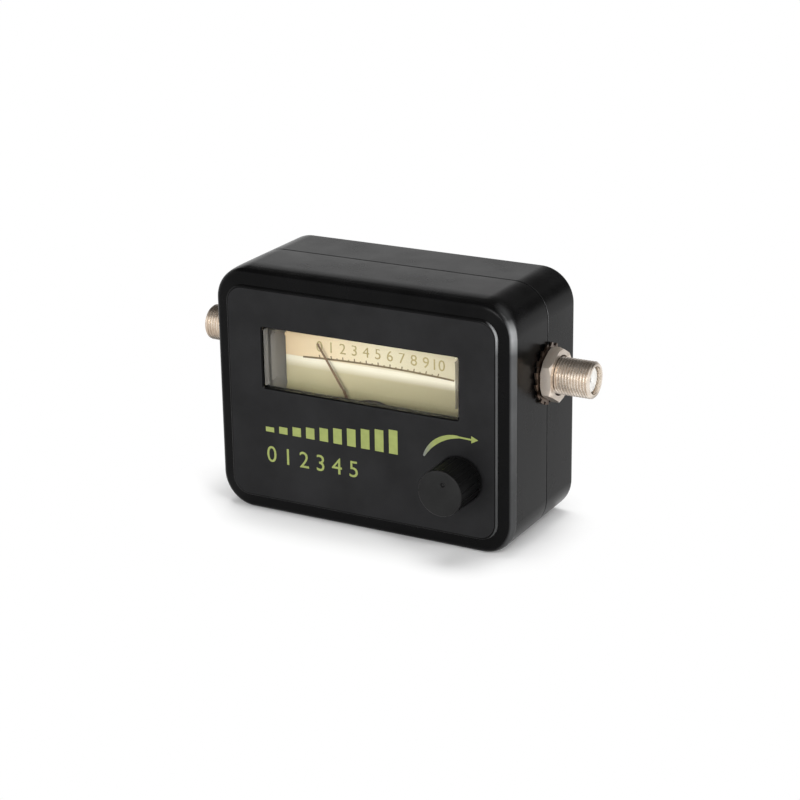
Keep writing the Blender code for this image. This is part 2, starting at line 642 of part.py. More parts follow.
def front_shell(holder):
    rim_y = FRONT_Y + PANEL_STEP
    edge_y = rim_y + RIM_FALL
    rebate = WALL - TONGUE_WIDTH - GAP
    rebate_y = PARTING_Y - TONGUE_HEIGHT - GAP
    rings = rounded_edge(PANEL_EDGE, FRONT_Y, -1, PANEL_INSET)
    rings.append((case_ring(PANEL_INSET), rim_y))
    rings += rounded_edge(FRONT_EDGE, edge_y, -1)
    rings += [
        (case_ring(0), FRONT_SEAM_Y),
        (case_ring(rebate), FRONT_SEAM_Y),
        (case_ring(rebate), rebate_y),
        (case_ring(WALL), rebate_y),
        (case_ring(WALL), INNER_FRONT_Y),
    ]
    shell = piece("front_shell", loft(rings), "black_moulding", holder)
    for place in POST_PLACES:
        add(shell, rod(place, POST_RADIUS, INNER_FRONT_Y - OVERRUN, FRONT_SEAM_Y))
    for place in BOARD_POST_PLACES:
        add(shell, rod(place, BOARD_POST_RADIUS, INNER_FRONT_Y - OVERRUN, BOARD_FRONT_Y - GAP))
    pilots = [
        rod(place, CASE_SCREW_RADIUS + GAP, PARTING_Y - CASE_SCREW_LENGTH, PARTING_Y + OVERRUN, "Y", TINY_SIDES)
        for place in POST_PLACES
    ]
    pilot_end = BOARD_REAR_SEAT_Y - BOARD_SCREW_LENGTH - GAP
    pilots += [
        rod(place, BOARD_SCREW_RADIUS + GAP, pilot_end, BOARD_FRONT_Y + OVERRUN, "Y", TINY_SIDES)
        for place in BOARD_POST_PLACES
    ]
    cut(shell, joined(pilots))
    cut(shell, window_cutter())
    cut(shell, rod((KNOB_X, KNOB_Z), SHAFT_RADIUS + 2 * GAP, FRONT_Y - OVERRUN, INNER_FRONT_Y + OVERRUN))
    cut(shell, connector_cutter())


def window_cutter():
    """The window through the front wall, with a chamfered edge on the panel."""
    centre = (0.0, WINDOW_Z)
    flare = OVERRUN + WINDOW_CHAMFER
    rings = []
    for grow, level in (
        (flare, FRONT_Y - OVERRUN),
        (0.0, FRONT_Y + WINDOW_CHAMFER),
        (0.0, INNER_FRONT_Y + OVERRUN),
    ):
        width = WINDOW_WIDTH + 2 * grow
        height = WINDOW_HEIGHT + 2 * grow
        rings.append((shifted(rounded_rectangle(width, height, WINDOW_CORNER + grow, EDGE_STEPS), centre), level))
    return loft(rings)


def connector_cutter():
    """Round holes through both side walls, on the seam."""
    centre = (CONNECTOR_Y, CONNECTOR_Z)
    radius = THREAD_RADIUS + GAP
    holes = []
    for side in (-1, 1):
        low, high = sorted((side * (INNER_SIDE_X - OVERRUN), side * (SIDE_X + OVERRUN)))
        holes.append(rod(centre, radius, low, high, "X", LARGE_SIDES))
    return joined(holes)


def rear_cover(holder):
    tongue = WALL - TONGUE_WIDTH
    tongue_y = PARTING_Y - TONGUE_HEIGHT
    rings = rounded_edge(REAR_EDGE, BACK_Y, 1)
    rings += [
        (case_ring(0), REAR_SEAM_Y),
        (case_ring(tongue), REAR_SEAM_Y),
        (case_ring(tongue), tongue_y),
        (case_ring(WALL), tongue_y),
        (case_ring(WALL), INNER_BACK_Y),
    ]
    cover = piece("rear_cover", loft(rings), "black_moulding", holder)
    seat_y = PARTING_Y + CASE_SCREW_SEAT
    for place in POST_PLACES:
        add(cover, rod(place, POST_RADIUS, REAR_SEAM_Y, INNER_BACK_Y + OVERRUN))
    bores = [
        turned(
            [
                (REAR_SEAM_Y - OVERRUN, 0),
                (REAR_SEAM_Y - OVERRUN, CASE_SCREW_RADIUS + GAP),
                (seat_y, CASE_SCREW_RADIUS + GAP),
                (seat_y, CASE_SCREW_HEAD_RADIUS + GAP),
                (BACK_Y + OVERRUN, CASE_SCREW_HEAD_RADIUS + GAP),
                (BACK_Y + OVERRUN, 0),
            ],
            place,
        )
        for place in POST_PLACES
    ]
    cut(cover, joined(bores))
    cut(cover, connector_cutter())


def cross_slot(centre, depth_y, face_y, reach, width):
    """A cross-shaped cutter for a screw's drive, from a face at face_y down to depth_y."""
    low, high = sorted((depth_y, face_y))
    u, w = centre
    outline = []
    for turn in range(4):
        corner = turned_about([(-width, width), (-width, reach), (width, reach)], 90 * turn)
        outline += corner
    return prism(shifted(outline, (u, w)), low, high)


def screw(name, holder, place, seat_y, radius, head_radius, head_height, length):
    """A pan-head screw driven towards the front, with its head's seat at seat_y."""
    head_y = seat_y + head_height
    edge = head_height / 3
    profile = [
        (seat_y - length, 0),
        (seat_y - length, radius / 2),
        (seat_y - length + radius, radius),
        (seat_y, radius),
        (seat_y, head_radius),
        (head_y - edge, head_radius),
        (head_y, head_radius - edge),
        (head_y, 0),
    ]
    made = piece(name, turned(profile, place, "Y", TINY_SIDES), "steel", holder)
    recess = cross_slot(place, head_y - head_height / 2, head_y + OVERRUN, head_radius / 2, head_radius / 8)
    cut(made, recess)


def case_screws(holder):
    seat_y = PARTING_Y + CASE_SCREW_SEAT + GAP
    for number, place in enumerate(POST_PLACES, 1):
        screw(
            "case_screw_%d" % number,
            holder,
            place,
            seat_y,
            CASE_SCREW_RADIUS,
            CASE_SCREW_HEAD_RADIUS,
            CASE_SCREW_HEAD_HEIGHT,
            CASE_SCREW_LENGTH,
        )


# Panel meter
def meter_cap(holder):
    rings = [
        (tee(-CAP_WALL), CAP_SHOULDER_Y + CAP_WALL),
        (tee(-CAP_WALL), CAP_BACK_Y),
        (tee(0), CAP_BACK_Y),
        (tee(0), CAP_SHOULDER_Y),
    ]
    cap = piece("meter_cap", loft(rings), "clear_plastic", holder)
    centre = (0.0, WINDOW_Z)
    width = WINDOW_WIDTH - 2 * GAP
    height = WINDOW_HEIGHT - 2 * GAP
    boss = shifted(rounded_rectangle(width, height, WINDOW_CORNER, EDGE_STEPS), centre)
    add(cap, prism(boss, CAP_FRONT_Y, CAP_SHOULDER_Y + CAP_WALL / 2))
    hollow = rounded_rectangle(width - 2 * CAP_WALL, height - 2 * CAP_WALL, WINDOW_CORNER, EDGE_STEPS)
    cut(cap, prism(shifted(hollow, centre), CAP_FRONT_Y + CAP_WALL, CAP_SHOULDER_Y + CAP_WALL + OVERRUN))


def meter_base(holder):
    base = piece("meter_base", prism(tee(0), BASE_FRONT_Y, BASE_BACK_Y), "dark_plastic", holder)
    pivot = (0.0, PIVOT_Z)
    add(base, rod(pivot, CUP_RADIUS, BASE_FRONT_Y + BASE_THICKNESS / 2, CUP_BACK_Y, "Y", LARGE_SIDES))
    cut(base, rod(pivot, CUP_BORE, BASE_FRONT_Y - OVERRUN, CUP_INNER_BACK_Y, "Y", LARGE_SIDES))
    holes = []
    for side in (-1, 1):
        holes.append(base_hole(side * LAMP_X, WINDOW_Z - LAMP_BELOW_WINDOW, LAMP_RADIUS))
        holes.append(base_hole(side * TERMINAL_X, TERMINAL_Z, TERMINAL_RADIUS))
        screw_z = PIVOT_Z - DIAL_SCREW_BELOW_PIVOT
        holes.append(base_hole(side * DIAL_SCREW_X, screw_z, DIAL_SCREW_RADIUS))
    cut(base, joined(holes))


def base_hole(x, z, radius):
    return rod((x, z), radius + GAP, BASE_FRONT_Y - OVERRUN, BASE_BACK_Y + OVERRUN, "Y", TINY_SIDES)


def dial(holder):
    plate = piece("dial_plate", prism(tee(-CAP_WALL - GAP), DIAL_FRONT_Y, DIAL_BACK_Y), "cream_print", holder)
    low, high = DIAL_FRONT_Y - OVERRUN, DIAL_BACK_Y + OVERRUN
    holes = [rod((0.0, PIVOT_Z), DIAL_HOLE_RADIUS, low, high, "Y", LARGE_SIDES)]
    for side, word in ((-1, "left"), (1, "right")):
        place = (side * DIAL_SCREW_X, PIVOT_Z - DIAL_SCREW_BELOW_PIVOT)
        holes.append(rod(place, DIAL_SCREW_RADIUS + GAP, low, high, "Y", TINY_SIDES))
        head_y = DIAL_FRONT_Y - GAP
        profile = [
            (head_y + DIAL_SCREW_LENGTH, 0),
            (head_y + DIAL_SCREW_LENGTH, DIAL_SCREW_RADIUS),
            (head_y, DIAL_SCREW_RADIUS),
            (head_y, DIAL_SCREW_HEAD),
            (head_y - DIAL_SCREW_RADIUS, DIAL_SCREW_HEAD - GAP),
            (head_y - DIAL_SCREW_RADIUS, 0),
        ]
        piece("dial_screw_" + word, turned(profile, place, "Y", TINY_SIDES), "brass", holder)
    cut(plate, joined(holes))


def pivot_cover(holder):
    """A dished half-round cover over the movement; the needle comes out under its upper rim."""
    rim_y = COVER_FRONT_Y + COVER_DEPTH
    profile = [
        (COVER_FRONT_Y, 0),
        (COVER_FRONT_Y, COVER_FACE_RADIUS),
        (rim_y, COVER_RADIUS),
        (rim_y, COVER_RADIUS - COVER_THICKNESS),
        (COVER_FRONT_Y + COVER_THICKNESS, COVER_FACE_RADIUS - COVER_THICKNESS),
        (COVER_FRONT_Y + COVER_THICKNESS, 0),
    ]
    cover = piece("pivot_cover", turned(profile, (0.0, PIVOT_Z), "Y", LARGE_SIDES), "dark_plastic", holder)
    for side in (-1, 1):
        place = (side * (COVER_RADIUS - COVER_THICKNESS), PIVOT_Z)
        add(cover, rod(place, COVER_POST_RADIUS, rim_y - COVER_THICKNESS, DIAL_FRONT_Y - GAP, "Y", TINY_SIDES))
    reach = COVER_RADIUS + OVERRUN
    low = (-reach, COVER_FRONT_Y - OVERRUN, PIVOT_Z - reach)
    high = (reach, DIAL_FRONT_Y, PIVOT_Z - COVER_BELOW_PIVOT)
    cut(cover, block(low, high))


def front_bridge(holder):
    """A strap over the needle's hub on two legs that stand on the return ring."""
    reach = RING_RADIUS - GAP
    inner = reach - BRIDGE_LEG
    foot_y = RING_FRONT_Y - GAP
    outline = [
        (-reach, FRONT_BRIDGE_FRONT_Y),
        (reach, FRONT_BRIDGE_FRONT_Y),
        (reach, foot_y),
        (inner, foot_y),
        (inner, FRONT_BRIDGE_BACK_Y),
        (-inner, FRONT_BRIDGE_BACK_Y),
        (-inner, foot_y),
        (-reach, foot_y),
    ]
    low, high = PIVOT_Z - BRIDGE_HALF_WIDTH, PIVOT_Z + BRIDGE_HALF_WIDTH
    bridge = piece("front_bridge", prism(outline, low, high, "Z"), "brass", holder)
    jewel_hole(bridge, FRONT_BRIDGE_FRONT_Y, FRONT_BRIDGE_BACK_Y)


def jewel_hole(bridge, front_y, back_y):
    radius = JEWEL_SCREW_RADIUS + GAP
    cut(bridge, rod((0.0, PIVOT_Z), radius, front_y - OVERRUN, back_y + OVERRUN, "Y", TINY_SIDES))


def rear_bridge(holder):
    """A strap behind the coil, with legs on the return ring and prongs that hold the core."""
    reach = RING_RADIUS - GAP
    inner = reach - BRIDGE_LEG
    half = REAR_BRIDGE_HALF_WIDTH
    low = (-half, REAR_BRIDGE_FRONT_Y, PIVOT_Z - reach)
    high = (half, REAR_BRIDGE_BACK_Y, PIVOT_Z + reach)
    bridge = piece("rear_bridge", block(low, high), "tin", holder)
    root_y = (REAR_BRIDGE_FRONT_Y + REAR_BRIDGE_BACK_Y) / 2
    prong_outer = CORE_RADIUS - PRONG_MARGIN
    leg_half = BRIDGE_HALF_WIDTH
    for side in (-1, 1):
        z0, z1 = sorted((PIVOT_Z + side * inner, PIVOT_Z + side * (reach - PRONG_MARGIN)))
        add(bridge, block((-leg_half, RING_BACK_Y + GAP, z0), (leg_half, root_y, z1)))
        z0, z1 = sorted((PIVOT_Z + side * (prong_outer - PRONG_DEPTH), PIVOT_Z + side * prong_outer))
        prong = PRONG_HALF_WIDTH
        add(bridge, block((-prong, CORE_BACK_Y + GAP, z0), (prong, root_y, z1)))
    jewel_hole(bridge, REAR_BRIDGE_FRONT_Y, REAR_BRIDGE_BACK_Y)


def jewel_screw(name, holder, inner_y, outward):
    """A slotted screw with a conical cup for the pivot; outward is -1 at the front."""
    outer_y = inner_y + outward * JEWEL_SCREW_LENGTH
    profile = [
        (inner_y + outward * JEWEL_CUP_RADIUS, 0),
        (inner_y, JEWEL_CUP_RADIUS),
        (inner_y, JEWEL_SCREW_RADIUS),
        (outer_y, JEWEL_SCREW_RADIUS),
        (outer_y, 0),
    ]
    made = piece(name, turned(profile, (0.0, PIVOT_Z), "Y", TINY_SIDES), "brass", holder)
    half, reach = JEWEL_SLOT / 2, JEWEL_SCREW_RADIUS + OVERRUN
    y0, y1 = sorted((outer_y - outward * JEWEL_SLOT, outer_y + outward * OVERRUN))
    cut(made, block((-reach, y0, PIVOT_Z - half), (reach, y1, PIVOT_Z + half)))


def zero_lever(holder):
    """The eye round the front jewel screw, with an arm whose tab holds the front hairspring's end."""
    eye = JEWEL_SCREW_RADIUS + GAP + ZERO_LEVER_EYE
    tab_x = FRONT_HAIRSPRING_RADIUS + GAP
    tab_back_y = FRONT_HAIRSPRING_Y + HAIRSPRING_HEIGHT / 2
    pivot = (0.0, PIVOT_Z)
    lever = piece(
        "zero_lever", rod(pivot, eye, ZERO_LEVER_FRONT_Y, ZERO_LEVER_BACK_Y, "Y", SMALL_SIDES), "brass", holder
    )
    half = ZERO_LEVER_HALF_WIDTH
    low_z, high_z = PIVOT_Z - half, PIVOT_Z + half
    outline = [
        (JEWEL_SCREW_RADIUS + GAP, ZERO_LEVER_FRONT_Y),
        (tab_x + ZERO_LEVER_TAB, ZERO_LEVER_FRONT_Y),
        (tab_x + ZERO_LEVER_TAB, tab_back_y),
        (tab_x, tab_back_y),
        (tab_x, ZERO_LEVER_BACK_Y),
        (JEWEL_SCREW_RADIUS + GAP, ZERO_LEVER_BACK_Y),
    ]
    add(lever, prism(outline, low_z, high_z, "Z"))
    low_y, high_y = ZERO_LEVER_FRONT_Y - OVERRUN, ZERO_LEVER_BACK_Y + OVERRUN
    cut(lever, rod(pivot, JEWEL_SCREW_RADIUS + GAP, low_y, high_y, "Y", TINY_SIDES))


def hairspring(name, holder, middle_y, outer_radius, end_deg):
    """A flat spiral strip whose outer end lies end_deg clockwise from upright."""
    steps = int(HAIRSPRING_TURNS * HAIRSPRING_STEPS_PER_TURN)
    inner_radius = HAIRSPRING_INNER_RADIUS
    near, far = [], []
    for step in range(steps + 1):
        share = step / steps
        radius = inner_radius + (outer_radius - inner_radius) * share
        angle = math.radians(end_deg - 360 * HAIRSPRING_TURNS * (1 - share))
        for row, offset in ((near, 0.0), (far, -HAIRSPRING_STRIP)):
            reach = radius + offset
            row.append((reach * math.sin(angle), PIVOT_Z + reach * math.cos(angle)))
    pitch = (outer_radius - inner_radius) / HAIRSPRING_TURNS
    print(name, "least gap between turns, mm:", round((pitch - HAIRSPRING_STRIP) / MM, 3))
    low, high = middle_y - HAIRSPRING_HEIGHT / 2, middle_y + HAIRSPRING_HEIGHT / 2
    piece(name, spiral_strip(near, far, low, high), "brass", holder)


def spiral_strip(near, far, low, high):
    """A closed strip between two curves of equal count, in quads from end to end."""
    bm = bmesh.new()
    rows = []
    for a, b in zip(near, far):
        corners = ((a, low), (b, low), (b, high), (a, high))
        rows.append([bm.verts.new(in_space(p, level, "Y")) for p, level in corners])
    for first, second in zip(rows, rows[1:]):
        for i in range(4):
            j = (i + 1) % 4
            bm.faces.new((first[i], first[j], second[j], second[i]))
    bm.faces.new(rows[0])
    bm.faces.new(rows[-1])
    bmesh.ops.recalc_face_normals(bm, faces=bm.faces[:])
    return bm


def magnet_and_ring(holder):
    pivot = (0.0, PIVOT_Z)
    edge = PRONG_MARGIN
    core = [
        (CORE_FRONT_Y, 0),
        (CORE_FRONT_Y, CORE_RADIUS - edge),
        (CORE_FRONT_Y + edge, CORE_RADIUS),
        (CORE_BACK_Y - edge, CORE_RADIUS),
        (CORE_BACK_Y, CORE_RADIUS - edge),
        (CORE_BACK_Y, 0),
    ]
    piece("core_magnet", turned(core, pivot), "magnet", holder)
    ring = [
        (RING_FRONT_Y, RING_INNER_RADIUS),
        (RING_FRONT_Y, RING_RADIUS),
        (RING_BACK_Y, RING_RADIUS),
        (RING_BACK_Y, RING_INNER_RADIUS),
    ]
    piece("return_ring", turned(ring, pivot, "Y", LARGE_SIDES), "steel", holder)


def frame_loop(inner_half, outer_half, grow):
    """A rectangular loop round the core, in the needle's own turned position."""
    inner_front, inner_back = FORMER_FRONT_Y - grow[0], FORMER_BACK_Y + grow[0]
    outer_front, outer_back = FORMER_FRONT_Y - grow[1], FORMER_BACK_Y + grow[1]
    half = WINDING_WIDTH / 2
    inner = rectangle(-inner_half, inner_half, inner_front, inner_back)
    outer = rectangle(-outer_half, outer_half, outer_front, outer_back)
    bm = bmesh.new()
    rows = []
    for outline, level in ((inner, -half), (outer, -half), (outer, half), (inner, half)):
        rows.append([bm.verts.new(in_space(p, level, "Z")) for p in outline])
    for near, far in zip(rows, rows[1:] + rows[:1]):
        for i in range(4):
            j = (i + 1) % 4
            bm.faces.new((near[i], near[j], far[j], far[i]))
    bmesh.ops.recalc_face_normals(bm, faces=bm.faces[:])
    turn = Matrix.Rotation(math.radians(NEEDLE_REST_DEG), 4, "Y")
    bmesh.ops.transform(bm, matrix=Matrix.Translation((0.0, 0.0, PIVOT_Z)) @ turn, verts=bm.verts[:])
    return bm


def moving_coil(holder):
    piece("coil_former", frame_loop(FORMER_INNER, FORMER_OUTER, (0.0, FORMER_THICKNESS)), "tin", holder)
    reach = (FORMER_THICKNESS + GAP, WINDING_OVER_FORMER)
    piece("coil_winding", frame_loop(WINDING_INNER, WINDING_OUTER, reach), "copper", holder)


def staff(name, holder, foot_y, tip_y, outward):
    """A pivot staff with a foot on the coil and a conical point; outward is -1 at the front."""
    profile = [
        (foot_y, 0),
        (foot_y, STAFF_FOOT_RADIUS),
        (foot_y + outward * STAFF_FOOT_HEIGHT, STAFF_FOOT_RADIUS),
        (foot_y + outward * STAFF_FOOT_HEIGHT, STAFF_RADIUS),
        (tip_y - outward * STAFF_CONE, STAFF_RADIUS),
        (tip_y, 0),
    ]
    piece(name, turned(profile, (0.0, PIVOT_Z), "Y", TINY_SIDES), "steel", holder)


def needle(holder):
    pivot = (0.0, PIVOT_Z)
    outline = [
        (-TAIL_WIDTH / 2, -TAIL_LENGTH),
        (TAIL_WIDTH / 2, -TAIL_LENGTH),
        (TAIL_WIDTH / 2, 0.0),
        (NEEDLE_ROOT_WIDTH / 2, 0.0),
        (NEEDLE_TIP_WIDTH / 2, NEEDLE_LENGTH),
        (-NEEDLE_TIP_WIDTH / 2, NEEDLE_LENGTH),
        (-NEEDLE_ROOT_WIDTH / 2, 0.0),
        (-TAIL_WIDTH / 2, 0.0),
    ]
    placed = turned_about(outline, NEEDLE_REST_DEG, pivot)
    blade = piece("needle", prism(placed, NEEDLE_FRONT_Y, NEEDLE_BACK_Y), "needle_paint", holder)
    add(blade, rod(pivot, NEEDLE_HUB_RADIUS, HUB_FRONT_Y, HUB_BACK_Y, "Y", SMALL_SIDES))
    bore = STAFF_RADIUS + GAP
    cut(blade, rod(pivot, bore, HUB_FRONT_Y - OVERRUN, HUB_BACK_Y + OVERRUN, "Y", TINY_SIDES))
    weight = turned_about([(0.0, -BALANCE_DISTANCE)], NEEDLE_REST_DEG, pivot)[0]
    weight_y = NEEDLE_FRONT_Y - GAP
    disc = rod(weight, BALANCE_RADIUS, weight_y - BALANCE_THICKNESS, weight_y, "Y", SMALL_SIDES)
    piece("balance_weight", disc, "brass", holder)


def terminals(holder):
    for side, word in ((-1, "left"), (1, "right")):
        place = (side * TERMINAL_X, TERMINAL_Z)
        collar_y = BASE_BACK_Y + GAP
        profile = [
            (BASE_FRONT_Y, 0),
            (BASE_FRONT_Y, TERMINAL_RADIUS),
            (collar_y, TERMINAL_RADIUS),
            (collar_y, TERMINAL_COLLAR_RADIUS),
            (collar_y + TERMINAL_COLLAR_HEIGHT, TERMINAL_COLLAR_RADIUS),
            (collar_y + TERMINAL_COLLAR_HEIGHT, TERMINAL_RADIUS),
            (BOARD_BACK_Y + PIN_PAST_BOARD, TERMINAL_RADIUS),
            (BOARD_BACK_Y + PIN_PAST_BOARD, 0),
        ]
        piece("meter_terminal_" + word, turned(profile, place, "Y", TINY_SIDES), "brass", holder)


# Level control
def control_can(holder):
    centre = (KNOB_X, KNOB_Z)
    inner = CONTROL_RADIUS - CONTROL_CAN_WALL
    hole = BUSH_RADIUS + GAP
    profile = [
        (CAN_FRONT_Y, hole),
        (CAN_FRONT_Y, CONTROL_RADIUS),
        (CAN_BACK_Y, CONTROL_RADIUS),
        (CAN_BACK_Y, inner),
        (CAN_FRONT_Y + CONTROL_CAN_WALL, inner),
        (CAN_FRONT_Y + CONTROL_CAN_WALL, hole),
    ]
    can = piece("control_can", turned(profile, centre, "Y", LARGE_SIDES), "tin", holder)
    nib_inner = WIPER_RADIUS + GAP
    nib = shifted(sector(nib_inner, CONTROL_RADIUS - CONTROL_CAN_WALL / 2, STOP_HALF_DEG, 180.0), centre)
    add(can, prism(nib, CAN_FRONT_Y + CONTROL_CAN_WALL / 2, CAN_BACK_Y))


def control_wafer(holder):
    wafer = piece(
        "control_wafer",
        rod((KNOB_X, KNOB_Z), CONTROL_RADIUS, WAFER_FRONT_Y, WAFER_BACK_Y, "Y", LARGE_SIDES),
        "brown_laminate",
        holder,
    )
    for x, z in control_pin_places():
        low = WAFER_BACK_Y - WAFER_THICKNESS / 2
        add(wafer, rod((x, z), CONTROL_PIN_RADIUS, low, BOARD_BACK_Y + PIN_PAST_BOARD, "Y", TINY_SIDES))


def control_pin_places():
    pitch = CONTROL_PIN_PITCH_SHARE * CONTROL_RADIUS
    row_z = KNOB_Z - CONTROL_PIN_DROP_SHARE * CONTROL_RADIUS
    return [(KNOB_X + i * pitch, row_z) for i in (-1, 0, 1)]


def control_bush(holder):
    bore = SHAFT_RADIUS + GAP
    tail_y = CAN_FRONT_Y + CONTROL_CAN_WALL
    profile = [
        (BUSH_FRONT_Y, bore),
        (BUSH_FRONT_Y, BUSH_RADIUS),
        (BUSH_FLANGE_FRONT_Y, BUSH_RADIUS),
        (BUSH_FLANGE_FRONT_Y, BUSH_FLANGE_RADIUS),
        (BUSH_FLANGE_BACK_Y, BUSH_FLANGE_RADIUS),
        (BUSH_FLANGE_BACK_Y, BUSH_RADIUS),
        (tail_y, BUSH_RADIUS),
        (tail_y, bore),
    ]
    piece("control_bush", turned(profile, (KNOB_X, KNOB_Z)), "brass", holder)


def control_shaft(holder):
    edge = GAP
    profile = [
        (SHAFT_FRONT_Y, 0),
        (SHAFT_FRONT_Y, SHAFT_RADIUS - edge),
        (SHAFT_FRONT_Y + edge, SHAFT_RADIUS),
        (WIPER_BACK_Y, SHAFT_RADIUS),
        (WIPER_BACK_Y, 0),
    ]
    piece("level_shaft", turned(profile, (KNOB_X, KNOB_Z)), "steel", holder)


def wiper_disc(holder):
    """The disc that carries the wiper, with the tab that meets the can's stop."""
    centre = (KNOB_X, KNOB_Z)
    disc = piece(
        "wiper_disc", rod(centre, WIPER_RADIUS, WIPER_FRONT_Y, WIPER_BACK_Y, "Y", LARGE_SIDES), "brown_laminate", holder
    )
    reach = WIPER_RADIUS + WIPER_TAB_REACH
    tab = shifted(sector(SHAFT_RADIUS + OVERRUN, reach, STOP_HALF_DEG, KNOB_POINTER_DEG), centre)
    add(disc, prism(tab, WIPER_FRONT_Y, WIPER_BACK_Y))
    cut(disc, rod(centre, SHAFT_RADIUS + GAP, WIPER_FRONT_Y - OVERRUN, WIPER_BACK_Y + OVERRUN))


def fluted(radius, depth):
    """A round outline with shallow flutes, four points to each."""
    points = []
    count = 4 * KNOB_FLUTES
    for i in range(count):
        reach = radius - depth * (1 if i % 4 in (1, 2) else 0)
        angle = 2 * math.pi * i / count
        points.append((KNOB_X + reach * math.sin(angle), KNOB_Z + reach * math.cos(angle)))
    return points


def level_knob(holder):
    skirt_y = KNOB_BACK_Y - KNOB_SKIRT_HEIGHT
    top = KNOB_RADIUS - KNOB_TAPER
    rings = [
        (fluted(KNOB_RADIUS, 0.0), KNOB_BACK_Y),
        (fluted(KNOB_RADIUS, 0.0), skirt_y),
        (fluted(KNOB_RADIUS - KNOB_TAPER / 4, KNOB_FLUTE_DEPTH), skirt_y - KNOB_FLUTE_DEPTH),
        (fluted(top, KNOB_FLUTE_DEPTH), KNOB_FRONT_Y + KNOB_EDGE + KNOB_FLUTE_DEPTH),
        (fluted(top, 0.0), KNOB_FRONT_Y + KNOB_EDGE),
        (fluted(top - KNOB_EDGE, 0.0), KNOB_FRONT_Y),
    ]
    knob = piece("level_knob", loft(rings), "knob_plastic", holder)
    centre = (KNOB_X, KNOB_Z)
    cut(knob, rod(centre, SHAFT_RADIUS + GAP, KNOB_FRONT_Y + KNOB_FACE_THICKNESS, KNOB_BACK_Y + OVERRUN))
    dimple = turned_about([(0.0, KNOB_POINTER_DISTANCE)], KNOB_POINTER_DEG, centre)[0]
    end_y = KNOB_FRONT_Y + KNOB_POINTER_DEPTH
    cut(knob, rod(dimple, KNOB_POINTER_RADIUS, KNOB_FRONT_Y - OVERRUN, end_y, "Y", TINY_SIDES))


# F-type connectors
def connector_body(name, holder, side):
    def at(distance):
        """A place along the axis, measured outward from the case's side."""
        return side * (SIDE_X + distance)

    flange_out = -WALL - GAP
    flange_in = flange_out - CONNECTOR_FLANGE_THICKNESS
    tail = flange_in - CONNECTOR_TAIL_LENGTH
    profile = [
        (at(tail), CONNECTOR_BORE),
        (at(tail), CONNECTOR_TAIL_RADIUS),
        (at(flange_in), CONNECTOR_TAIL_RADIUS),
        (at(flange_in), CONNECTOR_FLANGE_RADIUS),
        (at(flange_out), CONNECTOR_FLANGE_RADIUS),
        (at(flange_out), THREAD_RADIUS),
        (at(THREAD_REACH - THREAD_CHAMFER), THREAD_RADIUS),
        (at(THREAD_REACH), THREAD_RADIUS - THREAD_CHAMFER),
        (at(THREAD_REACH), CONNECTOR_BORE),
    ]
    piece(name, turned(profile, (CONNECTOR_Y, CONNECTOR_Z), "X", LARGE_SIDES), "nickel", holder)
    return tail


def connector(holder, side, word):
    centre = (CONNECTOR_Y, CONNECTOR_Z)
    tail = connector_body("connector_body_" + word, holder, side)
    face = THREAD_REACH - INSULATOR_RECESS
    contact_hole = CONTACT_RADIUS + GAP

    def at(distance):
        return side * (SIDE_X + distance)

    insulator = [
        (at(tail), contact_hole),
        (at(tail), CONNECTOR_BORE - GAP),
        (at(face), CONNECTOR_BORE - GAP),
        (at(face), INSULATOR_ENTRY),
        (at(face - INSULATOR_FACE), INSULATOR_ENTRY),
        (at(face - INSULATOR_FACE), contact_hole),
    ]
    piece("insulator_" + word, turned(insulator, centre, "X"), "white_insulator", holder)
    contact_end = face - INSULATOR_FACE - GAP
    contact = [
        (at(tail - CONTACT_PIN_LENGTH), 0),
        (at(tail - CONTACT_PIN_LENGTH), CONTACT_PIN_RADIUS),
        (at(tail), CONTACT_PIN_RADIUS),
        (at(tail), CONTACT_RADIUS),
        (at(contact_end), CONTACT_RADIUS),
        (at(contact_end), CONTACT_BORE),
        (at(contact_end - CONTACT_BORE_DEPTH), CONTACT_BORE),
        (at(contact_end - CONTACT_BORE_DEPTH), 0),
    ]
    piece("centre_contact_" + word, turned(contact, centre, "X", TINY_SIDES), "brass", holder)
    low, high = sorted((at(GAP), at(GAP + WASHER_THICKNESS)))
    washer = piece("lock_washer_" + word, prism(toothed_ring(), low, high, "X"), "nickel", holder)
    cut(washer, rod(centre, THREAD_RADIUS + GAP, low - OVERRUN, high + OVERRUN, "X", LARGE_SIDES))
    hex_nut("hex_nut_" + word, holder, side, 2 * GAP + WASHER_THICKNESS)


def toothed_ring():
    """The washer's outline, with square teeth round the edge."""
    points = []
    count = 4 * WASHER_TEETH
    for i in range(count):
        reach = WASHER_RADIUS - WASHER_TOOTH * (1 if i % 4 in (1, 2) else 0)
        angle = 2 * math.pi * i / count
        points.append((CONNECTOR_Y + reach * math.cos(angle), CONNECTOR_Z + reach * math.sin(angle)))
    return points


def hex_nut(name, holder, side, start):
    centre = (CONNECTOR_Y, CONNECTOR_Z)
    corner = NUT_ACROSS_FLATS / math.sqrt(3)
    outline = [(p[1], p[0]) for p in circle(corner, 6)]
    low, high = sorted((side * (SIDE_X + start), side * (SIDE_X + start + NUT_THICKNESS)))
    nut = piece(name, prism(shifted(outline, centre), low, high, "X"), "nickel", holder)
    slope = NUT_CHAMFER / 2
    keep = [
        (low - slope, 0),
        (low - slope, corner - NUT_CHAMFER - slope),
        (low + slope, corner),
        (high - slope, corner),
        (high + slope, corner - NUT_CHAMFER - slope),
        (high + slope, 0),
    ]
    combine(nut, turned(keep, centre, "X", LARGE_SIDES), "INTERSECT")
    cut(nut, rod(centre, THREAD_RADIUS + GAP, low - OVERRUN, high + OVERRUN, "X", LARGE_SIDES))


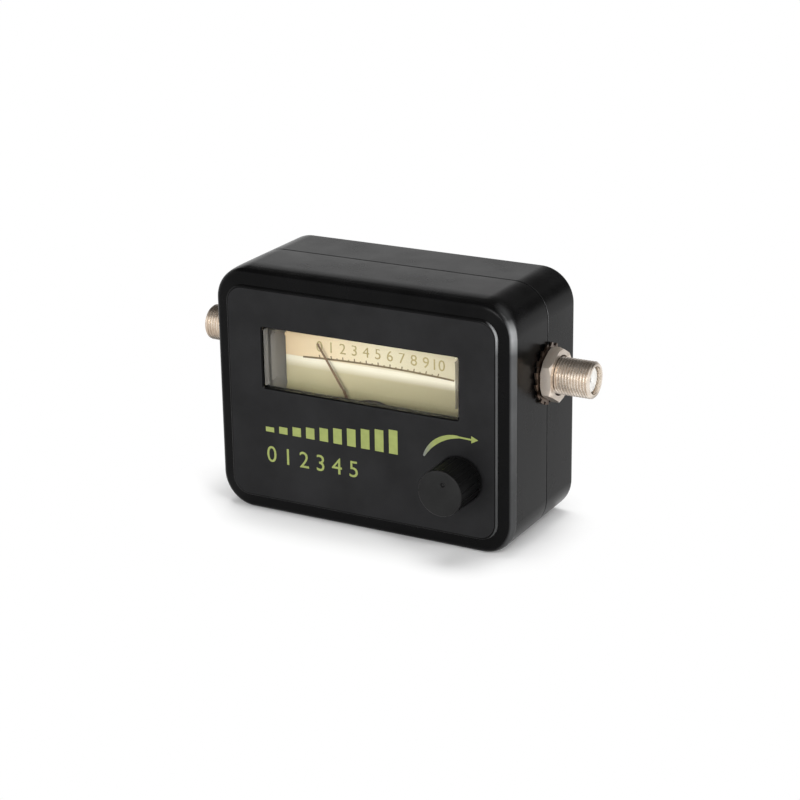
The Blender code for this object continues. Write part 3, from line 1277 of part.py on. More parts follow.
# Circuit board and its parts
def circuit_board(holder):
    slot = CUP_RADIUS + BOARD_SLOT_MARGIN
    slot_top = PIVOT_Z + CUP_RADIUS + BOARD_SLOT_MARGIN
    step = BOARD_EDGE_X - BOARD_CORNER
    right = [
        (slot, slot_top),
        (slot, BOARD_BOTTOM_Z),
        (step, BOARD_BOTTOM_Z),
        (step, BOARD_BOTTOM_Z + BOARD_CORNER),
        (BOARD_EDGE_X, BOARD_BOTTOM_Z + BOARD_CORNER),
        (BOARD_EDGE_X, BOARD_TOP_Z - BOARD_CORNER),
        (step, BOARD_TOP_Z - BOARD_CORNER),
        (step, BOARD_TOP_Z),
    ]
    left = [(-x, z) for x, z in reversed(right)]
    board = piece("circuit_board", prism(right + left, BOARD_FRONT_Y, BOARD_BACK_Y), "board_green", holder)
    places = [(place, BOARD_SCREW_RADIUS) for place in BOARD_POST_PLACES]
    places += [(place, CONTROL_PIN_RADIUS) for place in control_pin_places()]
    places += [((side * TERMINAL_X, TERMINAL_Z), TERMINAL_RADIUS) for side in (-1, 1)]
    low, high = BOARD_FRONT_Y - OVERRUN, BOARD_BACK_Y + OVERRUN
    cut(board, joined([rod(place, radius + GAP, low, high, "Y", TINY_SIDES) for place, radius in places]))


def board_screws(holder):
    for place, word in zip(BOARD_POST_PLACES, ("left", "right")):
        screw(
            "board_screw_" + word,
            holder,
            place,
            BOARD_REAR_SEAT_Y,
            BOARD_SCREW_RADIUS,
            BOARD_SCREW_HEAD_RADIUS,
            BOARD_SCREW_HEAD_HEIGHT,
            BOARD_SCREW_LENGTH,
        )


def shield_can(holder):
    """A tin box, open towards the board, over the high-frequency parts."""
    half, up = SHIELD_WIDTH / 2, SHIELD_HEIGHT / 2
    back_y = BOARD_REAR_SEAT_Y + SHIELD_DEPTH
    low = (-half, BOARD_REAR_SEAT_Y, SHIELD_Z - up)
    shield = piece("shield_can", block(low, (half, back_y, SHIELD_Z + up)), "tin", holder)
    inner, inner_up = half - SHIELD_WALL, up - SHIELD_WALL
    low = (-inner, BOARD_REAR_SEAT_Y - OVERRUN, SHIELD_Z - inner_up)
    cut(shield, block(low, (inner, back_y - SHIELD_WALL, SHIELD_Z + inner_up)))


def amplifier_transistors(holder):
    half, up = TRANSISTOR_WIDTH / 2, TRANSISTOR_HEIGHT / 2
    base = rectangle(-half, half, -up, up)
    top = [(u * TRANSISTOR_DRAFT_SHARE, v * TRANSISTOR_DRAFT_SHARE) for u, v in base]
    for side, number in ((-1, 1), (1, 2)):
        place = (side * TRANSISTOR_PLACE_SHARE * SHIELD_WIDTH, SHIELD_Z)
        rings = [
            (shifted(base, place), BOARD_REAR_SEAT_Y),
            (shifted(base, place), BOARD_REAR_SEAT_Y + TRANSISTOR_DEPTH / 2),
            (shifted(top, place), BOARD_REAR_SEAT_Y + TRANSISTOR_DEPTH),
        ]
        piece("amplifier_transistor_%d" % number, loft(rings), "component_black", holder)


def detector_diode(holder):
    """An axial diode lying on the board under the shield can."""
    centre = (BOARD_REAR_SEAT_Y + DIODE_RADIUS, SHIELD_Z - DIODE_BELOW_CENTRE)
    half, reach = DIODE_LENGTH / 2, DIODE_LENGTH / 2 + DIODE_LEAD_LENGTH
    profile = [
        (-reach, 0),
        (-reach, DIODE_LEAD_RADIUS),
        (-half, DIODE_LEAD_RADIUS),
        (-half, DIODE_RADIUS),
        (half, DIODE_RADIUS),
        (half, DIODE_LEAD_RADIUS),
        (reach, DIODE_LEAD_RADIUS),
        (reach, 0),
    ]
    piece("detector_diode", turned(profile, centre, "X", TINY_SIDES), "lamp_amber", holder)


def amplifier_chip(holder):
    x, z = BOARD_EDGE_X - CHIP_FROM_EDGE, WINDOW_Z + CHIP_ABOVE_WINDOW
    body_y = BOARD_REAR_SEAT_Y + CHIP_STAND_OFF
    low = (x - CHIP_LENGTH / 2, body_y, z - CHIP_WIDTH / 2)
    high = (x + CHIP_LENGTH / 2, body_y + CHIP_HEIGHT, z + CHIP_WIDTH / 2)
    chip = piece("amplifier_chip", block(low, high), "component_black", holder)
    knee_y = body_y + CHIP_HEIGHT / 2
    half = CHIP_LEG_THICKNESS / 2
    reach = CHIP_WIDTH / 2 + CHIP_LEG_REACH
    outline = [
        (knee_y - half, CHIP_WIDTH / 2 - OVERRUN),
        (knee_y - half, reach - CHIP_LEG_THICKNESS),
        (BOARD_REAR_SEAT_Y, reach - CHIP_LEG_THICKNESS),
        (BOARD_REAR_SEAT_Y, reach),
        (knee_y + half, reach),
        (knee_y + half, CHIP_WIDTH / 2 - OVERRUN),
    ]
    legs = []
    first = x - CHIP_LEG_PITCH * (CHIP_LEGS_PER_SIDE - 1) / 2
    for side in (-1, 1):
        leg = [(level, z + side * v) for level, v in outline]
        for i in range(CHIP_LEGS_PER_SIDE):
            middle = first + i * CHIP_LEG_PITCH
            legs.append(prism(leg, middle - CHIP_LEG_WIDTH / 2, middle + CHIP_LEG_WIDTH / 2, "X"))
    add(chip, joined(legs))


def capacitors(holder):
    z = WINDOW_Z - CAPACITOR_BELOW_WINDOW
    end_y = BOARD_REAR_SEAT_Y + CAPACITOR_LENGTH
    for side, word in ((-1, "left"), (1, "right")):
        place = (side * (BOARD_EDGE_X - CAPACITOR_FROM_EDGE), z)
        groove = CAPACITOR_GROOVE
        profile = [
            (BOARD_REAR_SEAT_Y, 0),
            (BOARD_REAR_SEAT_Y, CAPACITOR_RADIUS),
            (BOARD_REAR_SEAT_Y + groove, CAPACITOR_RADIUS),
            (BOARD_REAR_SEAT_Y + 2 * groove, CAPACITOR_RADIUS - groove),
            (BOARD_REAR_SEAT_Y + 3 * groove, CAPACITOR_RADIUS),
            (end_y - groove, CAPACITOR_RADIUS),
            (end_y, CAPACITOR_RADIUS - groove),
            (end_y, 0),
        ]
        piece("capacitor_" + word, turned(profile, place), "sleeve_blue", holder)


def bypass_choke(holder):
    place = (-(BOARD_EDGE_X - CHOKE_FROM_EDGE), WINDOW_Z + CHOKE_ABOVE_WINDOW)
    start, end = BOARD_REAR_SEAT_Y, BOARD_REAR_SEAT_Y + CHOKE_LENGTH
    profile = [
        (start, 0),
        (start, CHOKE_RADIUS),
        (start + CHOKE_RIM, CHOKE_RADIUS),
        (start + CHOKE_RIM, CHOKE_WAIST_RADIUS),
        (end - CHOKE_RIM, CHOKE_WAIST_RADIUS),
        (end - CHOKE_RIM, CHOKE_RADIUS),
        (end, CHOKE_RADIUS),
        (end, 0),
    ]
    piece("bypass_choke", turned(profile, place), "magnet", holder)


def voltage_regulator(holder):
    """A small half-round plastic body that stands on three legs."""
    x, z = -(SHIELD_WIDTH / 2 + REGULATOR_FROM_SHIELD), WINDOW_Z + REGULATOR_ABOVE_WINDOW
    limit = math.acos(REGULATOR_FLAT / REGULATOR_RADIUS)
    steps = CORNER_STEPS + EDGE_STEPS
    span = 2 * math.pi - 2 * limit
    outline = []
    for step in range(steps + 1):
        angle = limit + span * step / steps
        outline.append((x + REGULATOR_RADIUS * math.sin(angle), z + REGULATOR_RADIUS * math.cos(angle)))
    body_y = BOARD_REAR_SEAT_Y + REGULATOR_STAND_OFF
    body = piece("voltage_regulator", prism(outline, body_y, body_y + REGULATOR_HEIGHT), "component_black", holder)
    half = REGULATOR_LEG / 2
    legs = []
    for i in (-1, 0, 1):
        middle = x + i * REGULATOR_LEG_PITCH
        low = (middle - half, BOARD_REAR_SEAT_Y, z - half)
        legs.append(block(low, (middle + half, body_y + REGULATOR_HEIGHT / 2, z + half)))
    add(body, joined(legs))


def buzzer(holder):
    place = (-(BOARD_EDGE_X - BUZZER_FROM_EDGE), BUZZER_SHARE * CASE_HEIGHT)
    end = BOARD_REAR_SEAT_Y + BUZZER_LENGTH
    profile = [
        (BOARD_REAR_SEAT_Y, 0),
        (BOARD_REAR_SEAT_Y, BUZZER_RADIUS),
        (end - GAP, BUZZER_RADIUS),
        (end, BUZZER_RADIUS - GAP),
        (end, BUZZER_HOLE_RADIUS),
        (end - BUZZER_HOLE_DEPTH, BUZZER_HOLE_RADIUS),
        (end - BUZZER_HOLE_DEPTH, 0),
    ]
    piece("buzzer", turned(profile, place), "component_black", holder)


def dial_lamps(holder):
    """Domed lamps behind the dial, on legs from the board."""
    z = WINDOW_Z - LAMP_BELOW_WINDOW
    tip = BASE_FRONT_Y + GAP
    foot = tip + LAMP_LENGTH
    dome = LAMP_RADIUS
    for side, word in ((-1, "left"), (1, "right")):
        place = (side * LAMP_X, z)
        profile = [(tip, 0)]
        for step in range(1, EDGE_STEPS + 1):
            angle = math.radians(90 * step / EDGE_STEPS)
            profile.append((tip + dome * (1 - math.cos(angle)), dome * math.sin(angle)))
        rim_y = foot - LAMP_RIM_HEIGHT
        profile += [
            (rim_y, LAMP_RADIUS),
            (rim_y, LAMP_RADIUS + LAMP_RIM),
            (foot, LAMP_RADIUS + LAMP_RIM),
            (foot, 0),
        ]
        lamp = piece("dial_lamp_" + word, turned(profile, place, "Y", TINY_SIDES), "lamp_amber", holder)
        half = LAMP_LEG / 2
        legs = []
        for leg in (-1, 1):
            middle = place[0] + leg * LAMP_LEG_PITCH / 2
            low = (middle - half, foot - LAMP_RIM_HEIGHT / 2, z - half)
            legs.append(block(low, (middle + half, BOARD_FRONT_Y - GAP, z + half)))
        add(lamp, joined(legs))


def build():
    clear_scene()
    whole = empty("satellite_signal_meter", (0.0, 0.0, 0.0))
    needle_axis = empty("needle_axis", (0.0, NEEDLE_MID_Y, PIVOT_Z), whole)
    knob_axis = empty("knob_axis", (KNOB_X, KNOB_BACK_Y, KNOB_Z), whole)

    front_shell(whole)
    rear_cover(whole)
    case_screws(whole)

    meter_cap(whole)
    meter_base(whole)
    dial(whole)
    pivot_cover(whole)
    front_bridge(whole)
    rear_bridge(whole)
    jewel_screw("front_jewel_screw", whole, FRONT_JEWEL_Y, -1)
    jewel_screw("rear_jewel_screw", whole, REAR_JEWEL_Y, 1)
    zero_lever(whole)
    hairspring("front_hairspring", whole, FRONT_HAIRSPRING_Y, FRONT_HAIRSPRING_RADIUS, 90.0)
    hairspring("rear_hairspring", whole, REAR_HAIRSPRING_Y, REAR_HAIRSPRING_RADIUS, 0.0)
    magnet_and_ring(whole)
    terminals(whole)

    moving_coil(needle_axis)
    staff("front_pivot", needle_axis, FRONT_FOOT_Y, FRONT_TIP_Y, -1)
    staff("rear_pivot", needle_axis, REAR_FOOT_Y, REAR_TIP_Y, 1)
    needle(needle_axis)

    control_can(whole)
    control_wafer(whole)
    control_bush(whole)
    control_shaft(knob_axis)
    wiper_disc(knob_axis)
    level_knob(knob_axis)

    for side, word in ((-1, "left"), (1, "right")):
        connector(whole, side, word)

    circuit_board(whole)
    board_screws(whole)
    shield_can(whole)
    amplifier_transistors(whole)
    detector_diode(whole)
    amplifier_chip(whole)
    capacitors(whole)
    bypass_choke(whole)
    voltage_regulator(whole)
    buzzer(whole)
    dial_lamps(whole)


build()
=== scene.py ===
# %% [markdown]
# # A satellite signal meter, dressed over its CAD frame
# The real object is a black two-part plastic case. A moving-coil meter looks out of a window,
# a knob sets the level, and a threaded socket stands on each side for the aerial cable.
# The CAD solids are packed already and never move. This lesson gives the visible ones finer
# meshes in the same places, and gives every solid a material with grain, wear and variation.

# %% Load the frame
import math

import bmesh
import bpy
from mathutils import Matrix, Quaternion, Vector


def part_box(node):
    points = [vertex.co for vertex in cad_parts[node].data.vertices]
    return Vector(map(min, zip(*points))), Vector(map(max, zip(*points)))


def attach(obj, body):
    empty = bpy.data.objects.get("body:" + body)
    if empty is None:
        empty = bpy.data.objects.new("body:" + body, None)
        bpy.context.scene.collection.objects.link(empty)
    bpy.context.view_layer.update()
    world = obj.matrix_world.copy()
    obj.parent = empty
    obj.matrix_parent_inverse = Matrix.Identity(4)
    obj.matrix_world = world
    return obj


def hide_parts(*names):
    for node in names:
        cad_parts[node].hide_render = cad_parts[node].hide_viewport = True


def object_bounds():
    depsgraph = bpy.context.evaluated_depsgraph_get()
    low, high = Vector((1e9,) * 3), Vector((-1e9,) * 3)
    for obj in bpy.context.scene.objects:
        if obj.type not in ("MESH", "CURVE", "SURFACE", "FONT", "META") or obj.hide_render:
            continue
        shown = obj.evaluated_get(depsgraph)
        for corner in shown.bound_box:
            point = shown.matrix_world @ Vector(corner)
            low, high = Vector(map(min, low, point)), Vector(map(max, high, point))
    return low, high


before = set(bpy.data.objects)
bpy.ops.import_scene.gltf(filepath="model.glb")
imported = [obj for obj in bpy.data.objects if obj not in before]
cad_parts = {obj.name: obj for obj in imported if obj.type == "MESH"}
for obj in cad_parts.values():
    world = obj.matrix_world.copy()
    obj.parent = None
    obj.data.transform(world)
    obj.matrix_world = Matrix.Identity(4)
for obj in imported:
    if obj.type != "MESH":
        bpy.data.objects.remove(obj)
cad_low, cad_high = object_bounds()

MM = 0.001
size = (cad_high - cad_low) / MM
print("nodes:", len(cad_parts), "- size in mm:", [round(s, 1) for s in size])

# %% [markdown]
# The photograph looks down on the meter from its front right corner. A box of the case's size
# was fitted to the outline in the picture, so the camera is given by a direction, a distance
# from the middle of the case and a long lens, which hardly shrinks the far side.
# The picture's centre lies a little off the lens axis, so the lens is shifted by under 2%.

# %% Camera
CASE_MIDDLE = Vector((0.0, 0.0, 33.0 * MM))
CAMERA_YAW = math.radians(28.94)
CAMERA_PITCH = math.radians(19.19)
CAMERA_ROLL = math.radians(-0.93)
CAMERA_DISTANCE = 564.3 * MM
LENS_LENGTH = 97.9
LENS_SHIFT = (0.0076, -0.0138)
SENSOR_WIDTH = 36.0
NEAREST_SEEN = 10 * MM


def placed(name, data):
    """A new object in the scene that holds the given data."""
    thing = bpy.data.objects.new(name, data)
    bpy.context.scene.collection.objects.link(thing)
    return thing


def direction_from(yaw, pitch):
    """A unit vector from the object, turned from the front to the right and raised."""
    flat = math.cos(pitch)
    return Vector((math.sin(yaw) * flat, -math.cos(yaw) * flat, math.sin(pitch)))


lens = bpy.data.cameras.new("photo_lens")
lens.sensor_width = SENSOR_WIDTH
lens.lens = LENS_LENGTH
lens.shift_x, lens.shift_y = LENS_SHIFT
lens.clip_start = NEAREST_SEEN
camera = placed("photo_camera", lens)
bpy.context.scene.camera = camera
towards_camera = direction_from(CAMERA_YAW, CAMERA_PITCH)
camera.location = CASE_MIDDLE + towards_camera * CAMERA_DISTANCE
camera.rotation_mode = "QUATERNION"
facing = (-towards_camera).to_track_quat("-Z", "Y")
camera.rotation_quaternion = facing @ Quaternion((0, 0, 1), CAMERA_ROLL)
print("camera at, mm:", [round(c / MM) for c in camera.location])

# %% [markdown]
# A Principled shader takes a few plain values and a few linked ones. These helpers make a
# material, add a node with its values and links in one line, and mix two colours by a mask.
# Values that are the same all over a surface go straight onto the shader's own sockets.

# %% Material helpers
def new_material(name, colour, roughness, metallic=0.0, **plain):
    """A Principled material; plain holds further socket values, with _ for a space."""
    material = bpy.data.materials.new(name)
    material.use_nodes = True
    material.diffuse_color = (*colour, 1.0)
    shader = material.node_tree.nodes["Principled BSDF"]
    shader.inputs["Base Color"].default_value = (*colour, 1.0)
    shader.inputs["Roughness"].default_value = roughness
    shader.inputs["Metallic"].default_value = metallic
    for socket, value in plain.items():
        shader.inputs[socket.replace("_", " ")].default_value = value
    return material, material.node_tree, shader


def is_output(value):
    return isinstance(value, bpy.types.NodeSocket)


def add_node(tree, kind, sockets=None, **settings):
    """A node of the named kind. A socket takes a plain value, or a link from an output."""
    made = tree.nodes.new("ShaderNode" + kind)
    for setting, value in settings.items():
        setattr(made, setting, value)
    for socket, value in (sockets or {}).items():
        if is_output(value):
            tree.links.new(value, made.inputs[socket])
        else:
            made.inputs[socket].default_value = value
    return made


def mixed_colour(tree, mask, first, second):
    """The colour that goes from first to second as the mask goes from 0 to 1."""
    first, second = (end if is_output(end) else (*end, 1.0) for end in (first, second))
    return add_node(tree, "Mix", {0: mask, 6: first, 7: second}, data_type="RGBA").outputs[2]


print("material helpers ready")

# %% [markdown]
# Masks are made by arithmetic: a value is moved to another range, and masks are multiplied.
# Patterns read Object coordinates, which are metres here and turn with a piece when its joint
# moves.

# %% Mask helpers
def ranged(tree, value, from_low, from_high, to_low=0.0, to_high=1.0):
    """A value moved from one range to another and held inside it."""
    sockets = {0: value, 1: from_low, 2: from_high, 3: to_low, 4: to_high}
    return add_node(tree, "MapRange", sockets).outputs[0]


def math_of(tree, operation, first, second):
    return add_node(tree, "Math", {0: first, 1: second}, operation=operation).outputs[0]


def product(tree, first, *others):
    """Masks and values multiplied together."""
    for other in others:
        first = math_of(tree, "MULTIPLY", first, other)
    return first


def vector_math(tree, operation, first, second=(0.0, 0.0, 0.0)):
    return add_node(tree, "VectorMath", {0: first, 1: second}, operation=operation).outputs


def object_place(tree):
    return add_node(tree, "TexCoord").outputs["Object"]


def parts_of(tree, vector):
    """The X, Y and Z outputs of a vector."""
    return add_node(tree, "SeparateXYZ", {0: vector}).outputs


print("mask helpers ready")

# %% [markdown]
# Several finishes share the same effects, so each effect is a node group, built once.
# Grain is the fine sparkle of a moulded or plated skin: two noises, one fine and one coarse,
# give a height for a Bump node and a slow tone for colour and roughness.
# Coordinates are in metres, so a scale of 5000 makes features of a fifth of a millimetre.

# %% Grain group
def new_group(name, inputs, outputs):
    """A shader node group with named float inputs, what they give, and where its results go."""
    group = bpy.data.node_groups.new(name, "ShaderNodeTree")
    for socket, value in inputs.items():
        made = group.interface.new_socket(socket, in_out="INPUT", socket_type="NodeSocketFloat")
        made.default_value = value
    for socket in outputs:
        group.interface.new_socket(socket, in_out="OUTPUT", socket_type="NodeSocketFloat")
    given, results = (group.nodes.new("NodeGroup" + end) for end in ("Input", "Output"))
    return group, given.outputs, results.inputs


def noise_in(group, coordinates, scale, detail, roughness=0.55):
    """A noise on the given coordinates."""
    sockets = {"Vector": coordinates, "Scale": scale, "Detail": detail, "Roughness": roughness}
    return add_node(group, "TexNoise", sockets).outputs["Fac"]


grain, grain_in, grain_out = new_group(
    "skin_grain", {"Fine Scale": 5000.0, "Tone Scale": 90.0}, ("Height", "Tone")
)
fine = noise_in(grain, object_place(grain), grain_in["Fine Scale"], 3.0)
tone = noise_in(grain, object_place(grain), grain_in["Tone Scale"], 5.0)
grain.links.new(fine, grain_out["Height"])
grain.links.new(ranged(grain, tone, 0.3, 0.7), grain_out["Tone"])
print("group:", grain.name)

# %% [markdown]
# Handled plastic turns shiny and a little paler along its edges. Pointiness tells how sharply
# the surface bends outwards at each point. The group keeps the sharpest part of it and breaks
# it up with a noise, because no real edge is rubbed evenly.

# %% Edge rub group
rub, rub_in, rub_out = new_group(
    "edge_rub", {"From": 0.52, "To": 0.60, "Patch Scale": 260.0}, ("Mask",)
)
pointiness = add_node(rub, "NewGeometry").outputs["Pointiness"]
bend = ranged(rub, pointiness, rub_in["From"], rub_in["To"])
patches = noise_in(rub, object_place(rub), rub_in["Patch Scale"], 6.0, 0.65)
broken = ranged(rub, patches, 0.35, 0.6, 0.25, 1.0)
rub.links.new(product(rub, bend, broken), rub_out["Mask"])
print("group:", rub.name)

# %% [markdown]
# The rounded front edges on the right side get a painted highlight: a paler colour, and a coat
# that makes them shinier. The group finds them by their normals, which point partly to the front
# and partly to the right. The painted highlight grows with height and is strongest just below
# the upper corner. A noise makes it uneven.

# %% Painted edge highlight group
# Where the painted highlight lies: a range across X, then its rise, peak and fade in height.
HIGHLIGHT_X = (20.0 * MM, 36.0 * MM)
HIGHLIGHT_RISE_Z = (12.0 * MM, 50.0 * MM)
HIGHLIGHT_PEAK_Z = (53.0 * MM, 57.0 * MM)
HIGHLIGHT_FADE_Z = (59.0 * MM, 62.0 * MM)

edge_highlight, edge_highlight_in, edge_highlight_out = new_group("painted_edge_highlight", {"Patch Scale": 140.0}, ("Mask",))
facing = parts_of(edge_highlight, add_node(edge_highlight, "NewGeometry").outputs["Normal"])
rightward = ranged(edge_highlight, facing["X"], 0.30, 0.62)
frontward = ranged(edge_highlight, facing["Y"], -0.03, -0.14)
spot = parts_of(edge_highlight, object_place(edge_highlight))
on_right = ranged(edge_highlight, spot["X"], *HIGHLIGHT_X)
highlight_rise = ranged(edge_highlight, spot["Z"], *HIGHLIGHT_RISE_Z, 0.17, 0.3)
highlight_peak = ranged(edge_highlight, spot["Z"], *HIGHLIGHT_PEAK_Z, 0.0, 0.62)
below_corner = ranged(edge_highlight, spot["Z"], *HIGHLIGHT_FADE_Z, 1.0, 0.1)
highlight_place = product(edge_highlight, on_right, math_of(edge_highlight, "ADD", highlight_rise, highlight_peak), below_corner)
uneven = noise_in(edge_highlight, object_place(edge_highlight), edge_highlight_in["Patch Scale"], 4.0)
patchy = ranged(edge_highlight, uneven, 0.3, 0.7, 0.8, 1.0)
edge_highlight.links.new(product(edge_highlight, rightward, frontward, highlight_place, patchy), edge_highlight_out["Mask"])
print("group:", edge_highlight.name)

# %% [markdown]
# Dust settles on faces that look up and stays in patches. The group compares the surface's
# normal with the vertical and multiplies by a noise with small specks in it.

# %% Dust group
dust, dust_in, dust_out = new_group("settled_dust", {"Amount": 0.5}, ("Mask",))
facing = parts_of(dust, add_node(dust, "NewGeometry").outputs["Normal"])
facing_up = ranged(dust, facing["Z"], 0.4, 0.95)
film = ranged(dust, noise_in(dust, object_place(dust), 70.0, 6.0, 0.7), 0.35, 0.75, 0.15, 0.7)
specks = ranged(dust, noise_in(dust, object_place(dust), 2600.0, 2.0), 0.66, 0.74)
both = math_of(dust, "MAXIMUM", film, specks)
dust.links.new(product(dust, facing_up, both, dust_in["Amount"]), dust_out["Mask"])
print("group:", dust.name)

# %% [markdown]
# The case is black ABS. The raised panel came out of a spark-eroded mould, so it is matt with a
# fine grain. The rim and the sides are smoother. One recipe serves both: grain feeds a Bump,
# the slow tone varies colour and roughness, rubbed edges are paler and shinier, and dust
# dulls what faces up.

# %% Black moulding recipe
DUST_COLOUR = (0.32, 0.30, 0.27)
PALE_SHARE = 1.7  # the palest patches against the plain colour


def place_group(tree, group, **values):
    """The outputs of a group placed in a material; values are for its inputs."""
    sockets = {socket.replace("_", " "): value for socket, value in values.items()}
    return add_node(tree, "Group", sockets, node_tree=group).outputs


def bump_from(tree, shader, height, distance, strength):
    """Links a height to the shader's Normal through a Bump node."""
    bump = add_node(tree, "Bump", {"Strength": strength, "Distance": distance, "Height": height})
    tree.links.new(bump.outputs["Normal"], shader.inputs["Normal"])


def vary_roughness(tree, shader, tone, low, high):
    """Roughness that goes from low to high with a slow tone."""
    tree.links.new(ranged(tree, tone, 0.0, 1.0, low, high), shader.inputs["Roughness"])


def moulded_plastic(
    name, colour, worn, rough_low, rough_high, grain_scale, grain_mm, dusty, specular=0.3,
    highlight_colour=None,
):
    """Moulded plastic with grain, rubbed edges and a little dust. The last argument, where given,
    is the colour of a painted highlight on the right front edges."""
    material, tree, shader = new_material(name, colour, rough_high, Specular_IOR_Level=specular)
    skin = place_group(tree, grain, Fine_Scale=grain_scale)
    edges = place_group(tree, rub)
    film = place_group(tree, dust, Amount=dusty)
    varied = tuple(min(1.0, channel * PALE_SHARE) for channel in colour)
    base = mixed_colour(tree, skin["Tone"], colour, varied)
    worn_and_highlighted = mixed_colour(tree, edges["Mask"], base, worn)
    # Painted highlight: the right front edges take a paler colour, and a coat that makes them
    # shinier.
    if highlight_colour:
        painted_highlight = place_group(tree, edge_highlight)["Mask"]
        worn_and_highlighted = mixed_colour(tree, painted_highlight, worn_and_highlighted, highlight_colour)
        tree.links.new(painted_highlight, shader.inputs["Coat Weight"])
        shader.inputs["Coat Roughness"].default_value = 0.12
    dusted = mixed_colour(tree, film["Mask"], worn_and_highlighted, DUST_COLOUR)
    tree.links.new(dusted, shader.inputs["Base Color"])
    spread = ranged(tree, skin["Tone"], 0.0, 1.0, rough_low, rough_high)
    smoother = math_of(tree, "SUBTRACT", spread, product(tree, edges["Mask"], rough_low / 2))
    tree.links.new(smoother, shader.inputs["Roughness"])
    bump_from(tree, shader, skin["Height"], grain_mm * MM, 0.6)
    return material


# The last colour in the case's row is a painted highlight on its right front edges.
BLACKS = (
    ("panel_black", (0.0085, 0.0085, 0.009), (0.04,) * 3, 0.42, 0.54, 4200.0, 0.03, 0.02, 0.11),
    (
        "case_black", (0.0014, 0.0014, 0.0015), (0.008,) * 3, 0.20, 0.30, 3000.0, 0.012, 0.012,
        0.075, (0.30, 0.305, 0.31),
    ),
    ("knob_black", (0.0025,) * 3, (0.006,) * 3, 0.30, 0.40, 3600.0, 0.01, 0.01, 0.05),
    ("knob_face", (0.010,) * 3, (0.013,) * 3, 0.34, 0.44, 3600.0, 0.012, 0.012, 0.085),
)
panel_black, case_black, knob_black, knob_face = (moulded_plastic(*row) for row in BLACKS)
print("plastics:", panel_black.name, case_black.name, knob_black.name, knob_face.name)

# %% [markdown]
# Meshes are shaped with bmesh operators. A moulded housing starts as one flat face, whose
# corners a bevel of its vertices rounds. Its points needn't be worked out by hand that way.
# An operator can leave faces that look inwards, so closed forms have their normals
# recalculated.

# %% First face
def rounded_face(low, high, radius, y, segments):
    """A new form: one rounded rectangle between two (x, z) corners, facing the front."""
    form = bmesh.new()
    corners = ((low[0], low[1]), (high[0], low[1]), (high[0], high[1]), (low[0], high[1]))
    points = [form.verts.new((x, y, z)) for x, z in corners]
    form.faces.new(points)
    bmesh.ops.bevel(
        form, geom=points, offset=radius, offset_type="OFFSET", segments=segments,
        profile=0.5, affect="VERTICES", material=-1,
    )
    form.faces.ensure_lookup_table()
    return form, form.faces[0]


def faced_out(form):
    """Turns every face of a closed form outwards."""
    bmesh.ops.recalc_face_normals(form, faces=form.faces[:])
    return form


sample, face = rounded_face((0.0, 0.0), (1.0, 1.0), 0.2, 0.0, 4)
print("points of a rounded face:", len(face.verts))
sample.free()

# %% [markdown]
# From that face on, a housing is a short list of moves, as it would be in the editor: push
# along Y, inset, soften. A helper hands back the face that comes next. The face that a push
# leaves behind is deleted where it would lie inside the solid.

# %% Shaping helpers
def new_parts(made, kind=bmesh.types.BMVert):
    """The points, or parts of another kind, that an extrusion made."""
    return [part for part in made["geom"] if isinstance(part, kind)]


def pushed(form, face, distance):
    """Extrudes a face along Y and returns the moved face."""
    made = bmesh.ops.extrude_face_region(form, geom=[face])
    bmesh.ops.translate(form, vec=(0, distance, 0), verts=new_parts(made))
    if any(len(edge.link_faces) > 2 for edge in face.edges):
        bmesh.ops.delete(form, geom=[face], context="FACES_ONLY")
    return new_parts(made, bmesh.types.BMFace)[0]


def inset(form, face, amount):
    bmesh.ops.inset_region(
        form, faces=[face], thickness=amount, depth=0.0, use_even_offset=True, use_boundary=True
    )
    return face


def softened(form, edges, radius, segments):
    bmesh.ops.bevel(
        form, geom=list(edges), offset=radius, offset_type="OFFSET", segments=segments,
        profile=0.5, affect="EDGES", material=-1, clamp_overlap=True,
    )
    form.normal_update()


def end_face(form, side):
    """The large flat face nearest the front for side -1, or the back for side 1."""
    form.normal_update()
    flat = [face for face in form.faces if abs(face.normal.y) > 0.999 and len(face.verts) > 8]
    return max(flat, key=lambda face: side * face.calc_center_median().y)


print("shaping helpers ready")

# %% [markdown]
# Pointiness belongs to vertices, and Blender spreads it over a face from its corners. A rubbed
# rim would then reach far into a large flat face, so such a face gets two narrow loops of
# vertices inside its outline, which keep the worn look at the rim.

# %% Loops inside a flat face
LOOP = 0.4 * MM


def framed(form, direction, place):
    """Two narrow loops inside the flat faces that look along a direction through a place."""
    form.normal_update()
    towards = Vector(direction)
    flat = [
        face for face in form.faces
        if face.normal.dot(towards) > 0.9999
        and abs((face.calc_center_median() - Vector(place)).dot(towards)) < LOOP / 10
    ]
    for _ in range(2):
        bmesh.ops.inset_region(
            form, faces=flat, thickness=LOOP, depth=0.0, use_even_offset=True, use_boundary=True
        )


print("loops lie apart, mm:", LOOP / MM)

# %% [markdown]
# Turned parts, such as knobs, screws and sockets, are a profile spun round an axis.
# The spin closes on itself, doubles are merged at the poles and the normals recalculated,
# because a spin can turn the form inside out.

# %% Turning helpers
AXES = {"X": Vector((1, 0, 0)), "Y": Vector((0, 1, 0))}
MERGE = 0.0001 * MM


